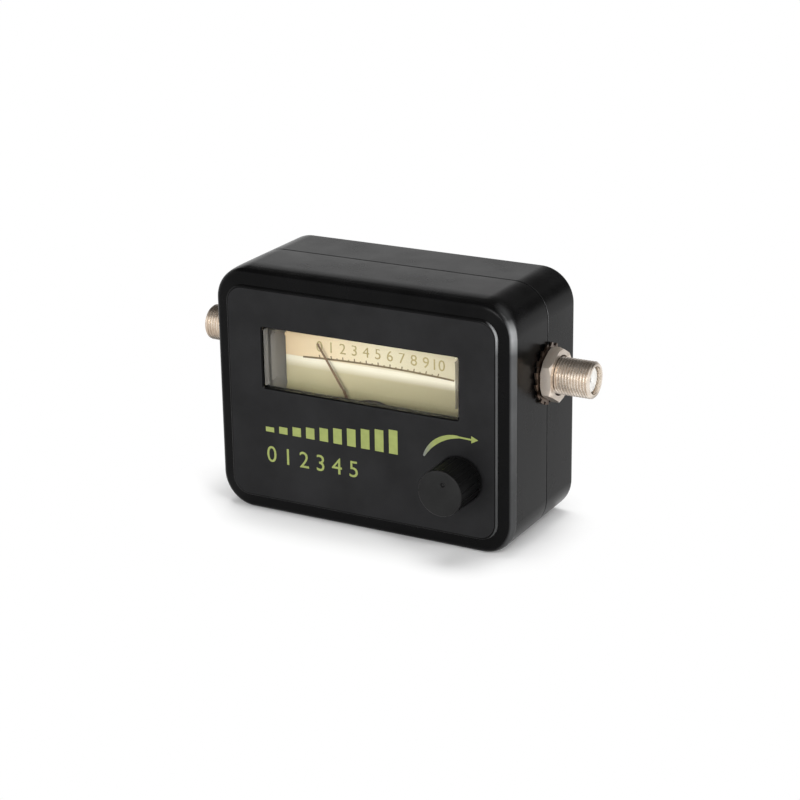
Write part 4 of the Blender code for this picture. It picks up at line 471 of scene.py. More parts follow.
def turned(profile, centre, axis, steps):
    """Spins (along, radius) points round an axis through centre; radius 0 closes an end."""
    form = bmesh.new()
    direction = AXES[axis]
    points = []
    for along, radius in profile:
        foot = Vector(centre) * (Vector((1, 1, 1)) - direction) + direction * along
        points.append(form.verts.new(foot + Vector((0, 0, radius))))
    edges = [form.edges.new(pair) for pair in zip(points, points[1:])]
    if profile[0][1] and profile[-1][1]:
        edges.append(form.edges.new((points[-1], points[0])))
    bmesh.ops.spin(
        form, geom=points + edges, cent=centre, axis=direction, dvec=(0, 0, 0),
        angle=2 * math.pi, steps=steps, use_merge=True, use_duplicate=False,
    )
    bmesh.ops.remove_doubles(form, verts=form.verts[:], dist=MERGE)
    return faced_out(form)


def rod(centre, radius, low, high, axis="Y", steps=48):
    return turned([(low, 0), (low, radius), (high, radius), (high, 0)], centre, axis, steps)


def beside(along, radius, steps_mm):
    """Profile points in millimetres from a place: along the axis and outwards."""
    return [(along + forward * MM, radius + out * MM) for forward, out in steps_mm]


print("turning helpers ready, doubles merge below mm:", MERGE / MM)

# %% [markdown]
# Holes and posts are exact Booleans, because they meet rounded walls that are hard to cut by
# hand. A Boolean is a modifier, so both forms are objects for a moment, and the result is read
# back from the first. Cutters that don't touch go together first and cost one Boolean.

# %% Carving helpers
def together(forms):
    """Several closed forms that don't touch, as one, for a Boolean."""
    whole = bmesh.new()
    mesh = bpy.data.meshes.new("scratch")
    for form in forms:
        form.to_mesh(mesh)
        whole.from_mesh(mesh)
        form.free()
    bpy.data.meshes.remove(mesh)
    return whole


def combined(form, other, operation):
    """The exact Boolean of two closed forms: UNION, DIFFERENCE or INTERSECT."""
    things = []
    for part in (form, other):
        mesh = bpy.data.meshes.new("scratch")
        part.to_mesh(mesh)
        part.free()
        things.append(placed("scratch", mesh))
    boolean = things[0].modifiers.new("boolean", "BOOLEAN")
    boolean.operation = operation
    boolean.solver = "EXACT"
    boolean.object = things[1]
    result = bmesh.new()
    result.from_object(things[0], bpy.context.evaluated_depsgraph_get())
    for thing in things:
        mesh = thing.data
        bpy.data.objects.remove(thing)
        bpy.data.meshes.remove(mesh)
    return result


def joined(form, *others):
    for other in others:
        form = combined(form, other, "UNION")
    return form


def carved(form, *cutters):
    for cutter in cutters:
        form = combined(form, cutter, "DIFFERENCE")
    return form


print("carving helpers ready")

# %% [markdown]
# A finished form becomes a piece: a mesh with its place in its vertices, smooth where faces
# meet gently and sharp elsewhere. Weighted normals keep large flat faces flat beside
# a narrow rounded edge. Each piece rides on a body and stands for CAD nodes.

# %% Making a piece
def add_piece(name, form, materials, body, stands_for=(), smooth_deg=40.0):
    mesh = bpy.data.meshes.new(name)
    form.to_mesh(mesh)
    form.free()
    mesh.shade_smooth()
    mesh.set_sharp_from_angle(angle=math.radians(smooth_deg))
    for material in materials:
        mesh.materials.append(material)
    piece = placed(name, mesh)
    weighted = piece.modifiers.new("weighted_normals", "WEIGHTED_NORMAL")
    weighted.keep_sharp = True
    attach(piece, body)
    if stands_for:
        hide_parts(*stands_for)
    print(name, "-", len(mesh.polygons), "faces")


def middle_of(node):
    low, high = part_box(node)
    return (low + high) / 2


print("front shell's middle, mm:", [round(c / MM, 1) for c in middle_of("front_shell")])

# %% [markdown]
# The front half of the case starts as its outline at the seam. It is pushed forward in short
# steps, and each step lets the top sink a little (CROWN), so that the upper front edge looks
# soft. That edge is rounded, the rim is inset and the panel raised out of the middle. From
# the seam side the face is inset and pushed in again, to leave an even wall and the step that
# takes the rear half's tongue.

# %% Front shell blank
CORNER = 9.0 * MM
CORNER_SEGMENTS = 24
WALL = 2.2 * MM
LIP = 1.1 * MM  # wall that stays outside the step for the tongue
PANEL_FROM_EDGE = 4.0 * MM
FRONT_ROUND = 1.9 * MM
RIM_SLOPE = 0.35 * MM
PANEL_RISE = 0.9 * MM
PANEL_ROUND = 0.7 * MM
FRONT_WALL = 2.4 * MM
TONGUE_SEAT_Y = -0.3 * MM
SEAM_ROUND = 0.12 * MM

shell_low, shell_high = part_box("front_shell")
front_y, seam_y = shell_low.y, shell_high.y
edge_y = front_y + PANEL_RISE + RIM_SLOPE


def case_outline(y):
    """The case's rounded outline at depth y."""
    low, high = (shell_low.x, shell_low.z), (shell_high.x, shell_high.z)
    return rounded_face(low, high, CORNER, y, CORNER_SEGMENTS)


shell, face = case_outline(seam_y)
CROWN = ((6.0, 0.0), (4.4, 0.05), (3.2, 0.13), (2.35, 0.22), (0.0, 0.34))
middle_z = (shell_low.z + shell_high.z) / 2
reached_y, lowered = seam_y, 0.0
for behind, drop in CROWN:
    face = pushed(shell, face, edge_y + behind * MM - reached_y)
    reached_y = edge_y + behind * MM
    for point in face.verts:
        share = max(0.0, (point.co.z - middle_z) / (shell_high.z - middle_z))
        point.co.z -= (drop - lowered) * MM * share ** 2
    lowered = drop
softened(shell, face.edges, FRONT_ROUND, 8)
face = inset(shell, end_face(shell, -1), PANEL_FROM_EDGE - FRONT_ROUND)
bmesh.ops.translate(shell, vec=(0, -RIM_SLOPE, 0), verts=face.verts[:])
face = pushed(shell, face, -PANEL_RISE)
softened(shell, face.edges, PANEL_ROUND, 5)
softened(faced_out(shell), end_face(shell, 1).edges, SEAM_ROUND, 2)
face = inset(shell, end_face(shell, 1), LIP - SEAM_ROUND)
face = pushed(shell, face, TONGUE_SEAT_Y - seam_y)
pushed(shell, inset(shell, face, WALL - LIP), front_y + FRONT_WALL - TONGUE_SEAT_Y)
faced_out(shell)
print("shell volume, cm3:", round(shell.calc_volume() * 1e6, 2))

# %% [markdown]
# Four posts inside take the case screws, and two shorter ones the board's. Their middles are
# read from the CAD screws, so that the holes fit. Each post is joined on first and then gets
# its pilot hole, which ends just past the tip of the screw.

# %% Posts
POST_RADIUS = 3.5 * MM
BOARD_POST_RADIUS = 2.4 * MM
PILOT_RADIUS = 1.6 * MM
BOARD_PILOT_RADIUS = 1.25 * MM
GAP = 0.3 * MM
PAST = 1.0 * MM  # how far a cutter or a post reaches past a surface

case_screws = ["case_screw_%d" % number for number in (1, 2, 3, 4)]
post_middles = [middle_of(name) for name in case_screws]
board_middles = [middle_of(name) for name in ("board_screw_left", "board_screw_right")]
board_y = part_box("circuit_board")[0].y
inner_front_y = front_y + FRONT_WALL


def posts(middles, radius, low, high, steps=40):
    return together([rod(middle, radius, low, high, "Y", steps) for middle in middles])


screw_tip_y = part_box("case_screw_1")[0].y - GAP
board_tip_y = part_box("board_screw_left")[0].y - GAP
shell = joined(
    shell,
    posts(post_middles, POST_RADIUS, inner_front_y - PAST, seam_y),
    posts(board_middles, BOARD_POST_RADIUS, inner_front_y - PAST, board_y - GAP),
)
shell = carved(
    shell,
    posts(post_middles, PILOT_RADIUS, screw_tip_y, seam_y + PAST),
    posts(board_middles, BOARD_PILOT_RADIUS, board_tip_y, board_y),
)
print("posts:", len(post_middles) + len(board_middles), "- faces so far:", len(shell.faces))

# %% [markdown]
# The front panel has a wide window and a round hole for the knob's shaft. The window's cutter
# is a rounded face pushed through the wall, and its last face is scaled up. It flares at the
# front that way, so that the panel keeps a small chamfer round the opening.

# %% Window and shaft hole
WINDOW_CORNER = 0.8 * MM
WINDOW_CHAMFER = 0.3 * MM
WINDOW_LOW = Vector((-28.25 * MM, 34.85 * MM))
WINDOW_HIGH = Vector((28.25 * MM, 51.15 * MM))
SHAFT_HOLE = 3.6 * MM

knob_middle = middle_of("level_shaft")


def window_cutter():
    """A straight opening whose front flares at 45 degrees."""
    form, face = rounded_face(
        WINDOW_LOW, WINDOW_HIGH, WINDOW_CORNER, inner_front_y + PAST, 6
    )
    face = pushed(form, face, front_y + WINDOW_CHAMFER - inner_front_y - PAST)
    face = pushed(form, face, -WINDOW_CHAMFER - PAST)
    spread = WINDOW_CHAMFER + PAST
    width, height = WINDOW_HIGH - WINDOW_LOW
    centre = face.calc_center_median()
    bmesh.ops.scale(
        form, vec=(1 + 2 * spread / width, 1, 1 + 2 * spread / height),
        space=Matrix.Translation(-centre), verts=face.verts[:],
    )
    return faced_out(form)


shaft_hole = rod(knob_middle, SHAFT_HOLE, front_y - PAST, inner_front_y + PAST)
shell = carved(shell, window_cutter(), shaft_hole)
print("window, mm:", [round(length / MM, 2) for length in WINDOW_HIGH - WINDOW_LOW])

# %% [markdown]
# A socket passes through each side wall. The wall is one large face, so an octagon is cut into
# it round the hole before the hole is made. Like the loops inside the flat faces, it keeps the
# rubbed look near the rim.

# %% Socket holes
SOCKET_HOLE = 5.05 * MM
SCORE = 7.0 * MM  # from the hole's axis to each side of the octagon

socket_middle = middle_of("insulator_right")


def scored_sides(form):
    """Cuts an octagon into each side wall, round the place of the socket's hole."""
    axle = Vector((0, socket_middle.y, socket_middle.z))
    for eighth in (0, 2, 4, 6, 1, 3, 5, 7):
        axis = Matrix.Rotation(eighth * math.pi / 4, 4, "X") @ Vector((0, 1, 0))
        form.normal_update()
        walls = []
        for face in form.faces:
            centre = face.calc_center_median()
            from_hole = max(abs(centre.y - axle.y), abs(centre.z - axle.z))
            in_wall = abs(face.normal.x) > 0.9999 and abs(centre.x) > shell_high.x - LOOP
            if in_wall and (eighth % 2 == 0 or from_hole < SCORE):
                walls.append(face)
        edges = {edge for face in walls for edge in face.edges}
        points = {point for face in walls for point in face.verts}
        bmesh.ops.bisect_plane(
            form, geom=walls + list(edges) + list(points),
            plane_co=axle + axis * SCORE, plane_no=axis,
        )
    return form


def socket_holes():
    """Round holes through both side walls."""
    reach, inner = shell_high.x + PAST, shell_high.x - WALL - PAST
    axis_point = (0.0, socket_middle.y, socket_middle.z)
    spans = ((-reach, -inner), (inner, reach))
    return together([rod(axis_point, SOCKET_HOLE, a, b, "X", 64) for a, b in spans])


shell = carved(scored_sides(shell), socket_holes())
framed(shell, (0, -1, 0), shell_low)
print("front shell faces:", len(shell.faces))

# %% [markdown]
# The panel is grained and the rest is smoother, so faces on the panel's flat front take
# the second material. A piece can hold several materials, one slot each.

# %% Front shell piece
for part in shell.faces:
    on_panel = part.normal.y < -0.99 and part.calc_center_median().y < front_y + PANEL_ROUND / 2
    part.material_index = 1 if on_panel else 0
add_piece(
    "front_shell_moulding", shell, [case_black, panel_black], "case",
    ["front_shell"],
)

# %% [markdown]
# The rear half is the same outline pushed the other way, with a tongue that enters the front
# half. Each screw well is a wide bore down to the seat of the head and a narrow one beyond.

# %% Rear cover
REAR_ROUND = 1.3 * MM
TONGUE_OFFSET = 1.4 * MM
WELL_RADIUS = 3.0 * MM
HEAD_HEIGHT = 1.9 * MM

cover_low, cover_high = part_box("rear_cover")
rear_seam_y = seam_y + GAP
back_y = cover_high.y
cover, face = case_outline(rear_seam_y)
pushed(cover, face, back_y - rear_seam_y)
softened(faced_out(cover), end_face(cover, 1).edges, REAR_ROUND, 7)
softened(cover, end_face(cover, -1).edges, SEAM_ROUND, 2)
face = inset(cover, end_face(cover, -1), TONGUE_OFFSET - SEAM_ROUND)
face = pushed(cover, face, cover_low.y - rear_seam_y)
pushed(cover, inset(cover, face, WALL - TONGUE_OFFSET), back_y - WALL - cover_low.y)
seat_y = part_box("case_screw_1")[1].y - HEAD_HEIGHT - GAP
rear_posts = posts(post_middles, POST_RADIUS, rear_seam_y, back_y - WALL + PAST)
cover = carved(
    joined(faced_out(cover), rear_posts),
    posts(post_middles, PILOT_RADIUS, rear_seam_y - PAST, back_y),
    posts(post_middles, WELL_RADIUS, seat_y, back_y + PAST, 56),
)
cover = carved(scored_sides(cover), socket_holes())
framed(cover, (0, 1, 0), cover_high)
add_piece("rear_cover_moulding", cover, [case_black], "case", ["rear_cover"])

# %% [markdown]
# The window is the front of the meter's own clear cap. Its front is polished and its side
# walls are slightly hazy, so they take a second, rougher material. Lamps can't shine through
# refracting plastic in a path tracer, so the shadow rays pass a Transparent shader instead.

# %% Clear plastic
CLEAR_DEPTH = 0.004 * MM


def mix_surface(tree, mask, first, second):
    """Gives the material two shaders, mixed by a mask."""
    sockets = {0: mask, 1: first.outputs[0], 2: second.outputs[0]}
    mix = add_node(tree, "MixShader", sockets)
    tree.links.new(mix.outputs[0], tree.nodes["Material Output"].inputs["Surface"])


def clear_plastic(name, colour, roughness, haze, clearness, bending):
    """Clear moulded plastic that lets shadow rays through."""
    material, tree, shader = new_material(
        name, colour, roughness, IOR=bending, Transmission_Weight=clearness
    )
    skin = place_group(tree, grain, Fine_Scale=1800.0, Tone_Scale=60.0)
    vary_roughness(tree, shader, skin["Tone"], roughness, roughness + haze)
    bump_from(tree, shader, skin["Height"], CLEAR_DEPTH, 0.1)
    clear = add_node(tree, "BsdfTransparent", {"Color": (0.9, 0.9, 0.88, 1.0)})
    mix_surface(tree, add_node(tree, "LightPath").outputs["Is Shadow Ray"], shader, clear)
    return material


polished_clear = clear_plastic("polished_clear", (0.98, 0.98, 0.97), 0.01, 0.02, 1.0, 1.03)
hazy_clear = clear_plastic("hazy_clear", (0.43, 0.415, 0.39), 0.35, 0.15, 0.5, 1.03)
inner_clear = clear_plastic("inner_clear", (0.98, 0.98, 0.97), 0.01, 0.02, 1.0, 1.0)
coated = polished_clear.node_tree.nodes["Principled BSDF"]
coated.inputs["Coat Weight"].default_value = 0.4
coated.inputs["Coat Roughness"].default_value = 0.03
print("clear plastics:", polished_clear.name, hazy_clear.name, inner_clear.name)

# %% [markdown]
# The cap is a T-shaped tray: a wide chamber for the scale and a narrower stem for the
# movement. A hollow boss on its front fills the window.

# %% Meter cap
CAP_WALL = 1.4 * MM
CHAMBER_FLOOR = 28.3 * MM
STEM_HALF = 16.4 * MM
BOSS_ROUND = 0.2 * MM

cap_low, cap_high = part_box("meter_cap")
shoulder_y = inner_front_y + GAP


def tee_face(y):
    """The meter's T-shaped outline as one face at depth y, facing the front."""
    form = bmesh.new()
    half, top, bottom = cap_high.x, cap_high.z, cap_low.z
    corners = [
        (-half, top), (-half, CHAMBER_FLOOR), (-STEM_HALF, CHAMBER_FLOOR), (-STEM_HALF, bottom),
        (STEM_HALF, bottom), (STEM_HALF, CHAMBER_FLOOR), (half, CHAMBER_FLOOR), (half, top),
    ]
    face = form.faces.new([form.verts.new((x, y, z)) for x, z in corners])
    return form, face


cap, back_face = tee_face(cap_high.y)
pushed(cap, back_face, shoulder_y - cap_high.y)
pushed(faced_out(cap), inset(cap, back_face, CAP_WALL), shoulder_y + CAP_WALL - cap_high.y)
boss_low = WINDOW_LOW + Vector((GAP, GAP))
boss_high = WINDOW_HIGH - Vector((GAP, GAP))
boss, face = rounded_face(boss_low, boss_high, WINDOW_CORNER, shoulder_y + CAP_WALL / 2, 6)
face = pushed(boss, face, cap_low.y - shoulder_y - CAP_WALL / 2)
softened(boss, face.edges, BOSS_ROUND, 3)
cap = joined(faced_out(cap), faced_out(boss))
wall = Vector((CAP_WALL, CAP_WALL))
hollow, face = rounded_face(
    boss_low + wall, boss_high - wall, WINDOW_CORNER, shoulder_y + CAP_WALL + PAST, 6
)
pushed(hollow, face, cap_low.y + CAP_WALL - shoulder_y - CAP_WALL - PAST)
cap = carved(cap, faced_out(hollow))
for part in cap.faces:
    deep = part.calc_center_median().y > shoulder_y + CAP_WALL
    if abs(part.normal.y) < 0.3 and (deep or abs(part.normal.x) > 0.7):
        part.material_index = 1
    elif abs(part.normal.y) < 0.9:
        part.material_index = 2
add_piece(
    "meter_cap_window", cap, [polished_clear, hazy_clear, inner_clear], "case",
    ["meter_cap"],
)

# %% [markdown]
# The scale plate is a printed sheet. Its paint is warm white above the scale line and dull olive
# below it. Towards the bottom and towards the right it darkens, where the case shades it: that
# darkening is painted shade. The change is drawn on Object coordinates, so it stays put. Noise
# breaks it up, as ink on a sheet never lies quite evenly.

# %% Scale plate paint and painted shade
SCALE_LINE_Z = 41.2 * MM
LINE_BLUR = 0.1 * MM
OLIVE_FOOT_Z = 30.0 * MM
CREAM_X = (-28.0 * MM, 4.0 * MM)
SHADED_X = (-12.0 * MM, 22.0 * MM)
BAND_Z = (SCALE_LINE_Z - 3.0 * MM, SCALE_LINE_Z - 1.0 * MM)
PAINT_DEPTH = 0.01 * MM

dial_paint, tree, shader = new_material("dial_paint", (0.80, 0.70, 0.46), 0.5)
spot = parts_of(tree, object_place(tree))
across, upward = spot["X"], spot["Z"]
skin = place_group(tree, grain, Fine_Scale=2600.0, Tone_Scale=60.0)
# Painted shade: the olive darkens towards the bottom.
lower = ranged(tree, upward, OLIVE_FOOT_Z, SCALE_LINE_Z)
olive = mixed_colour(tree, lower, (0.36, 0.33, 0.17), (0.60, 0.54, 0.34))
warm = ranged(tree, across, *CREAM_X)
cream = mixed_colour(tree, warm, (0.80, 0.60, 0.36), (0.83, 0.77, 0.56))
above = ranged(tree, upward, SCALE_LINE_Z - LINE_BLUR, SCALE_LINE_Z + LINE_BLUR)
sheet = mixed_colour(tree, above, olive, cream)
# Painted shade: the plate darkens towards the right.
right_shade = ranged(tree, across, *SHADED_X, 0.04, 0.5)
shade = mixed_colour(tree, above, (0.18, 0.16, 0.09), (0.40, 0.34, 0.21))
shaded = mixed_colour(tree, right_shade, sheet, shade)
below = math_of(tree, "SUBTRACT", 1.0, above)
band = product(tree, ranged(tree, upward, *BAND_Z), below, 0.85)
lit = mixed_colour(tree, band, shaded, (0.95, 0.91, 0.76))
mottled = mixed_colour(tree, product(tree, skin["Tone"], 0.18), lit, (0.45, 0.36, 0.2))
tree.links.new(mottled, shader.inputs["Base Color"])
vary_roughness(tree, shader, skin["Tone"], 0.42, 0.6)
bump_from(tree, shader, skin["Height"], PAINT_DEPTH, 0.3)
print("dial paint ready, scale line at mm:", round(SCALE_LINE_Z / MM, 1))

# %% [markdown]
# Ink is a thin raised film, so lines and figures are real solids, 0.04 mm thick. A row of
# strokes is made from one square each, and figures from the built-in font, turned into
# a mesh before they are put in place. Each stroke is given by its middle, size and tilt.

# %% Ink helpers
INK = 0.04 * MM
INK_GRAIN = 0.008 * MM
FONT_SHARE = 1.38  # font size over the height of a figure


def ink_stroke(form, middle, width, height, y, tilt_deg=0.0):
    """One upright printed bar, standing out from depth y towards the front."""
    made = bmesh.ops.create_cube(form, size=1.0)["verts"]
    turn = Matrix.Rotation(math.radians(tilt_deg), 4, "Y")
    sized = Matrix.Diagonal((width, INK, height, 1.0))
    place = Matrix.Translation((middle[0], y - INK / 2, middle[1]))
    bmesh.ops.transform(form, matrix=place @ turn @ sized, verts=made)


def ink_figures(form, text, middle, height, y):
    """Printed figures of the given height, centred on middle and facing the front."""
    curve = bpy.data.curves.new("figures", "FONT")
    curve.body = text
    curve.align_x, curve.align_y = "CENTER", "CENTER"
    curve.size = FONT_SHARE * height
    curve.extrude = INK / 2
    curve.resolution_u = 4
    thing = placed("figures", curve)
    ready = thing.evaluated_get(bpy.context.evaluated_depsgraph_get())
    flat = bpy.data.meshes.new_from_object(ready)
    bpy.data.objects.remove(thing)
    place = Matrix.Translation((middle[0], y - INK / 2, middle[1]))
    flat.transform(place @ Matrix.Rotation(math.pi / 2, 4, "X"))
    form.from_mesh(flat)
    bpy.data.meshes.remove(flat)
    bpy.data.curves.remove(curve)


def ink_material(name, colour, faded, fade=None):
    """Printing ink, thinner in places. A fade gives two places along X and a first colour."""
    material, tree, shader = new_material(name, colour, 0.45)
    skin = place_group(tree, grain, Fine_Scale=5200.0, Tone_Scale=420.0)
    ink = mixed_colour(tree, product(tree, skin["Tone"], 0.55), colour, faded)
    if fade:
        first_x, last_x, first_colour = fade
        along = ranged(tree, parts_of(tree, object_place(tree))["X"], first_x, last_x)
        ink = mixed_colour(tree, along, first_colour, ink)
    tree.links.new(ink, shader.inputs["Base Color"])
    vary_roughness(tree, shader, skin["Tone"], 0.38, 0.6)
    bump_from(tree, shader, skin["Height"], INK_GRAIN, 0.4)
    return material


def add_print(name, form, ink):
    """Printing is a piece of the case that stands for no CAD node."""
    add_piece(name, faced_out(form), [ink], "case")


brown_ink = ink_material("brown_ink", (0.15, 0.10, 0.035), (0.26, 0.19, 0.08))
olive_ink = ink_material("olive_ink", (0.34, 0.27, 0.09), (0.46, 0.38, 0.16))
GREEN, THIN_GREEN = (0.255, 0.295, 0.075), (0.17, 0.205, 0.05)
green_ink = ink_material("yellow_green_ink", GREEN, THIN_GREEN)
print("ink thickness, mm:", INK / MM)

# %% [markdown]
# The scale has a long line, a tick at each whole number with short ones between, and the plain
# figures 0 to 10. The line is drawn as short strokes on a very flat arc. Each stroke overlaps
# the next a little, so that the arc reads as one line.

# %% Printed scale
SCALE_SAG = 0.7 * MM
LINE_HALF = 22.0 * MM
FIRST_FIGURE_X = -17.0 * MM
FIGURE_PITCH = 3.45 * MM
FIGURE_HEIGHT = 3.0 * MM
FIGURE_RISE = 3.05 * MM  # from the line to the middle of a figure
LINE_STROKES = 44
LINE_WIDTH = 0.5 * MM
LONG_TICK, SHORT_TICK, TICK_WIDTH = 0.95 * MM, 0.5 * MM, 0.3 * MM
TICK_TILT = 0.9  # degrees for each millimetre from the middle

dial_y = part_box("dial_plate")[0].y
scale = bmesh.new()


def line_height(x):
    """Height of the flat arc: highest in the middle."""
    return SCALE_LINE_Z + SCALE_SAG * (1 - (x / LINE_HALF) ** 2)


step = 2 * LINE_HALF / LINE_STROKES
for number in range(LINE_STROKES):
    x = -LINE_HALF + (number + 0.5) * step
    slope = math.degrees(math.atan2(2 * SCALE_SAG * x, LINE_HALF ** 2))
    ink_stroke(scale, (x, line_height(x)), step * 1.05, LINE_WIDTH, dial_y, slope)
for number in range(21):
    x = FIRST_FIGURE_X + number * FIGURE_PITCH / 2
    length = LONG_TICK if number % 2 == 0 else SHORT_TICK
    middle = (x, line_height(x) + length / 2)
    ink_stroke(scale, middle, TICK_WIDTH, length, dial_y, x / MM * TICK_TILT)
add_print("dial_scale_lines", scale, brown_ink)

figures = bmesh.new()
for number in range(11):
    x = FIRST_FIGURE_X + number * FIGURE_PITCH
    middle = (x, line_height(x) + FIGURE_RISE)
    ink_figures(figures, str(number), middle, FIGURE_HEIGHT, dial_y)
add_print("dial_scale_figures", figures, olive_ink)

# %% [markdown]
# The panel is printed with plain generic marks: ten bars that rise from left to right, for a
# growing signal, and a row of plain figures below. Their ink is the arrow's yellow-green.

# %% Panel marks
BAR_COUNT = 10
BAR_FIRST_X = -26.6 * MM
BAR_PITCH = 4.05 * MM
BAR_WIDTH = 2.5 * MM
BAR_FOOT_Z = 23.0 * MM
BAR_LOWEST = 1.3 * MM
BAR_HIGHEST = 6.4 * MM
ROW_Z = 16.6 * MM
ROW_FIRST_X = BAR_FIRST_X + 0.3 * MM
ROW_PITCH = 4.9 * MM
ROW_HEIGHT = 4.6 * MM

marks = bmesh.new()
for number in range(BAR_COUNT):
    height = BAR_LOWEST + (BAR_HIGHEST - BAR_LOWEST) * number / (BAR_COUNT - 1)
    middle = (BAR_FIRST_X + number * BAR_PITCH, BAR_FOOT_Z + height / 2)
    ink_stroke(marks, middle, BAR_WIDTH, height, front_y)
for number in range(6):
    middle = (ROW_FIRST_X + number * ROW_PITCH, ROW_Z)
    ink_figures(marks, str(number), middle, ROW_HEIGHT, front_y)
add_print("panel_level_marks", marks, green_ink)

# %% [markdown]
# The arrow above the knob shows which way raises the level. It is one edge spun round the
# knob's axis, narrowed towards its start, drawn out to the right and closed by a triangle.
# Its tail starts grey and turns green on the way, so its ink gets a fade along X.

# %% Arrow above the knob
ARROW_RADIUS = 11.05 * MM
ARROW_WIDE = 1.3 * MM
ARROW_THIN = 0.45 * MM
ARROW_START_DEG = 156.0
ARROW_TURN_DEG = 66.0
ARROW_STEPS = 22
ARROW_RUN = 3.2 * MM
HEAD_HALF = 0.95 * MM
HEAD_LENGTH = 1.9 * MM
ARROW_DROP = 0.1 * MM
GREY_TAIL = (18.2 * MM, 21.6 * MM, (0.13, 0.135, 0.14))

axis_point = Vector((knob_middle.x, front_y, knob_middle.z))
arrow = bmesh.new()
start = math.radians(ARROW_START_DEG)
outward = Vector((math.cos(start), 0, math.sin(start)))
sides = (ARROW_RADIUS - ARROW_DROP, ARROW_RADIUS + ARROW_DROP)
ends = [arrow.verts.new(axis_point + outward * radius) for radius in sides]
first_edge = arrow.edges.new(ends)
bmesh.ops.spin(
    arrow, geom=ends + [first_edge], cent=axis_point, axis=(0, 1, 0), dvec=(0, 0, 0),
    angle=math.radians(ARROW_TURN_DEG), steps=ARROW_STEPS, use_merge=False, use_duplicate=False,
)
for point in arrow.verts:
    reach = point.co - axis_point
    turned_by = start - math.atan2(reach.z, reach.x)
    share = turned_by / math.radians(ARROW_TURN_DEG)
    swell = max(0.0, math.sin(math.pi * min(1.0, share)))
    width = ARROW_THIN + (ARROW_WIDE - ARROW_THIN) * swell ** 0.7
    side = 1 if reach.length > ARROW_RADIUS else -1
    point.co = axis_point + reach.normalized() * (ARROW_RADIUS + side * width / 2)
right_x = max(point.co.x for point in arrow.verts)
last = [edge for edge in arrow.edges if all(right_x - v.co.x < 1e-5 for v in edge.verts)]
tip_points = new_parts(bmesh.ops.extrude_edge_only(arrow, edges=last))
bmesh.ops.translate(arrow, vec=(ARROW_RUN, 0, -ARROW_DROP), verts=tip_points)
foot = sum((point.co for point in tip_points), Vector()) / 2
head = [
    arrow.verts.new(foot + Vector(shift))
    for shift in ((0, 0, -HEAD_HALF), (HEAD_LENGTH, 0, ARROW_DROP), (0, 0, HEAD_HALF))
]
arrow.faces.new(head)
lifted = bmesh.ops.extrude_face_region(faced_out(arrow), geom=arrow.faces[:])
bmesh.ops.translate(arrow, vec=(0, -INK, 0), verts=new_parts(lifted))
add_print("panel_arrow", arrow, ink_material("arrow_ink", GREEN, THIN_GREEN, GREY_TAIL))

# %% [markdown]
# The hump at the foot of the window is a dished cover over the needle's axis. It is turned from
# a rounded profile, stands on two posts and is cut straight below, as the CAD part is.

# %% Pivot cover
INNER_DUST = 0.1
cover_box_low, cover_box_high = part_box("pivot_cover")
pivot = Vector((0.0, 0.0, middle_of("front_pivot").z))
RIM_DEPTH = 3.9 * MM
COVER_THICK = 0.9 * MM
COVER_DISH = 2.4 * MM
COVER_FACE_EDGE = ((0.0, -0.7), (0.12, -0.2), (0.5, 0.25))
COVER_RIM_EDGE = ((-0.2, -0.05), (0.0, -0.2))
FOOT_RADIUS = 1.1 * MM
rim_radius = cover_box_high.x
face_radius = rim_radius - COVER_DISH
hump_y = cover_box_low.y
rim_y = hump_y + RIM_DEPTH
hump = turned(
    [
        (hump_y, 0), *beside(hump_y, face_radius, COVER_FACE_EDGE),
        *beside(rim_y, rim_radius, COVER_RIM_EDGE), (rim_y, rim_radius - COVER_THICK),
        (hump_y + COVER_THICK, face_radius - COVER_THICK), (hump_y + COVER_THICK, 0),
    ],
    pivot, "Y", 96,
)
foot_x = rim_radius - COVER_THICK
foot_middles = [pivot + Vector((side * foot_x, 0, 0)) for side in (-1, 1)]
feet = posts(foot_middles, FOOT_RADIUS, rim_y - COVER_THICK, cover_box_high.y, 48)
hump = joined(hump, feet)
bmesh.ops.bisect_plane(
    hump, geom=hump.verts[:] + hump.edges[:] + hump.faces[:],
    plane_co=(0, 0, cover_box_low.z), plane_no=(0, 0, 1), clear_inner=True,
)
bmesh.ops.holes_fill(hump, edges=[edge for edge in hump.edges if edge.is_boundary], sides=0)
cover_brown = moulded_plastic(
    "cover_brown", (0.020, 0.014, 0.010), (0.06, 0.05, 0.04), 0.4, 0.55, 2600.0, 0.02, INNER_DUST
)
add_piece(
    "pivot_cover_moulding", faced_out(hump), [cover_brown], "case", ["pivot_cover"]
)

# %% [markdown]
# The knob is turned with a rounded front edge, drilled for its shaft, and given 18 flutes by
# taking round rods out of its side. The dimple on its face shows where it points.

# %% Knob
KNOB_SKIRT = 1.2 * MM
KNOB_EDGE = 0.5 * MM
FLUTE_RADIUS = 0.55 * MM
FLUTE_DEPTH = 0.36 * MM
FLUTES = 18
DIMPLE_REACH = 2.6 * MM
DIMPLE_DEG = 20.0
KNOB_TAPER = 0.25 * MM
KNOB_FACE = 2.2 * MM
KNOB_BORE = 3.3 * MM
SKIRT_EDGE = ((0.0, -0.06), (0.0, -0.02))
BACK_EDGE = ((-0.2, 0.0), (0.0, -0.2))
DIMPLE_MOUTH = 0.75 * MM
DIMPLE = ((0.0, 0.7), (0.1, 0.58), (0.3, 0.4), (0.35, 0.0))

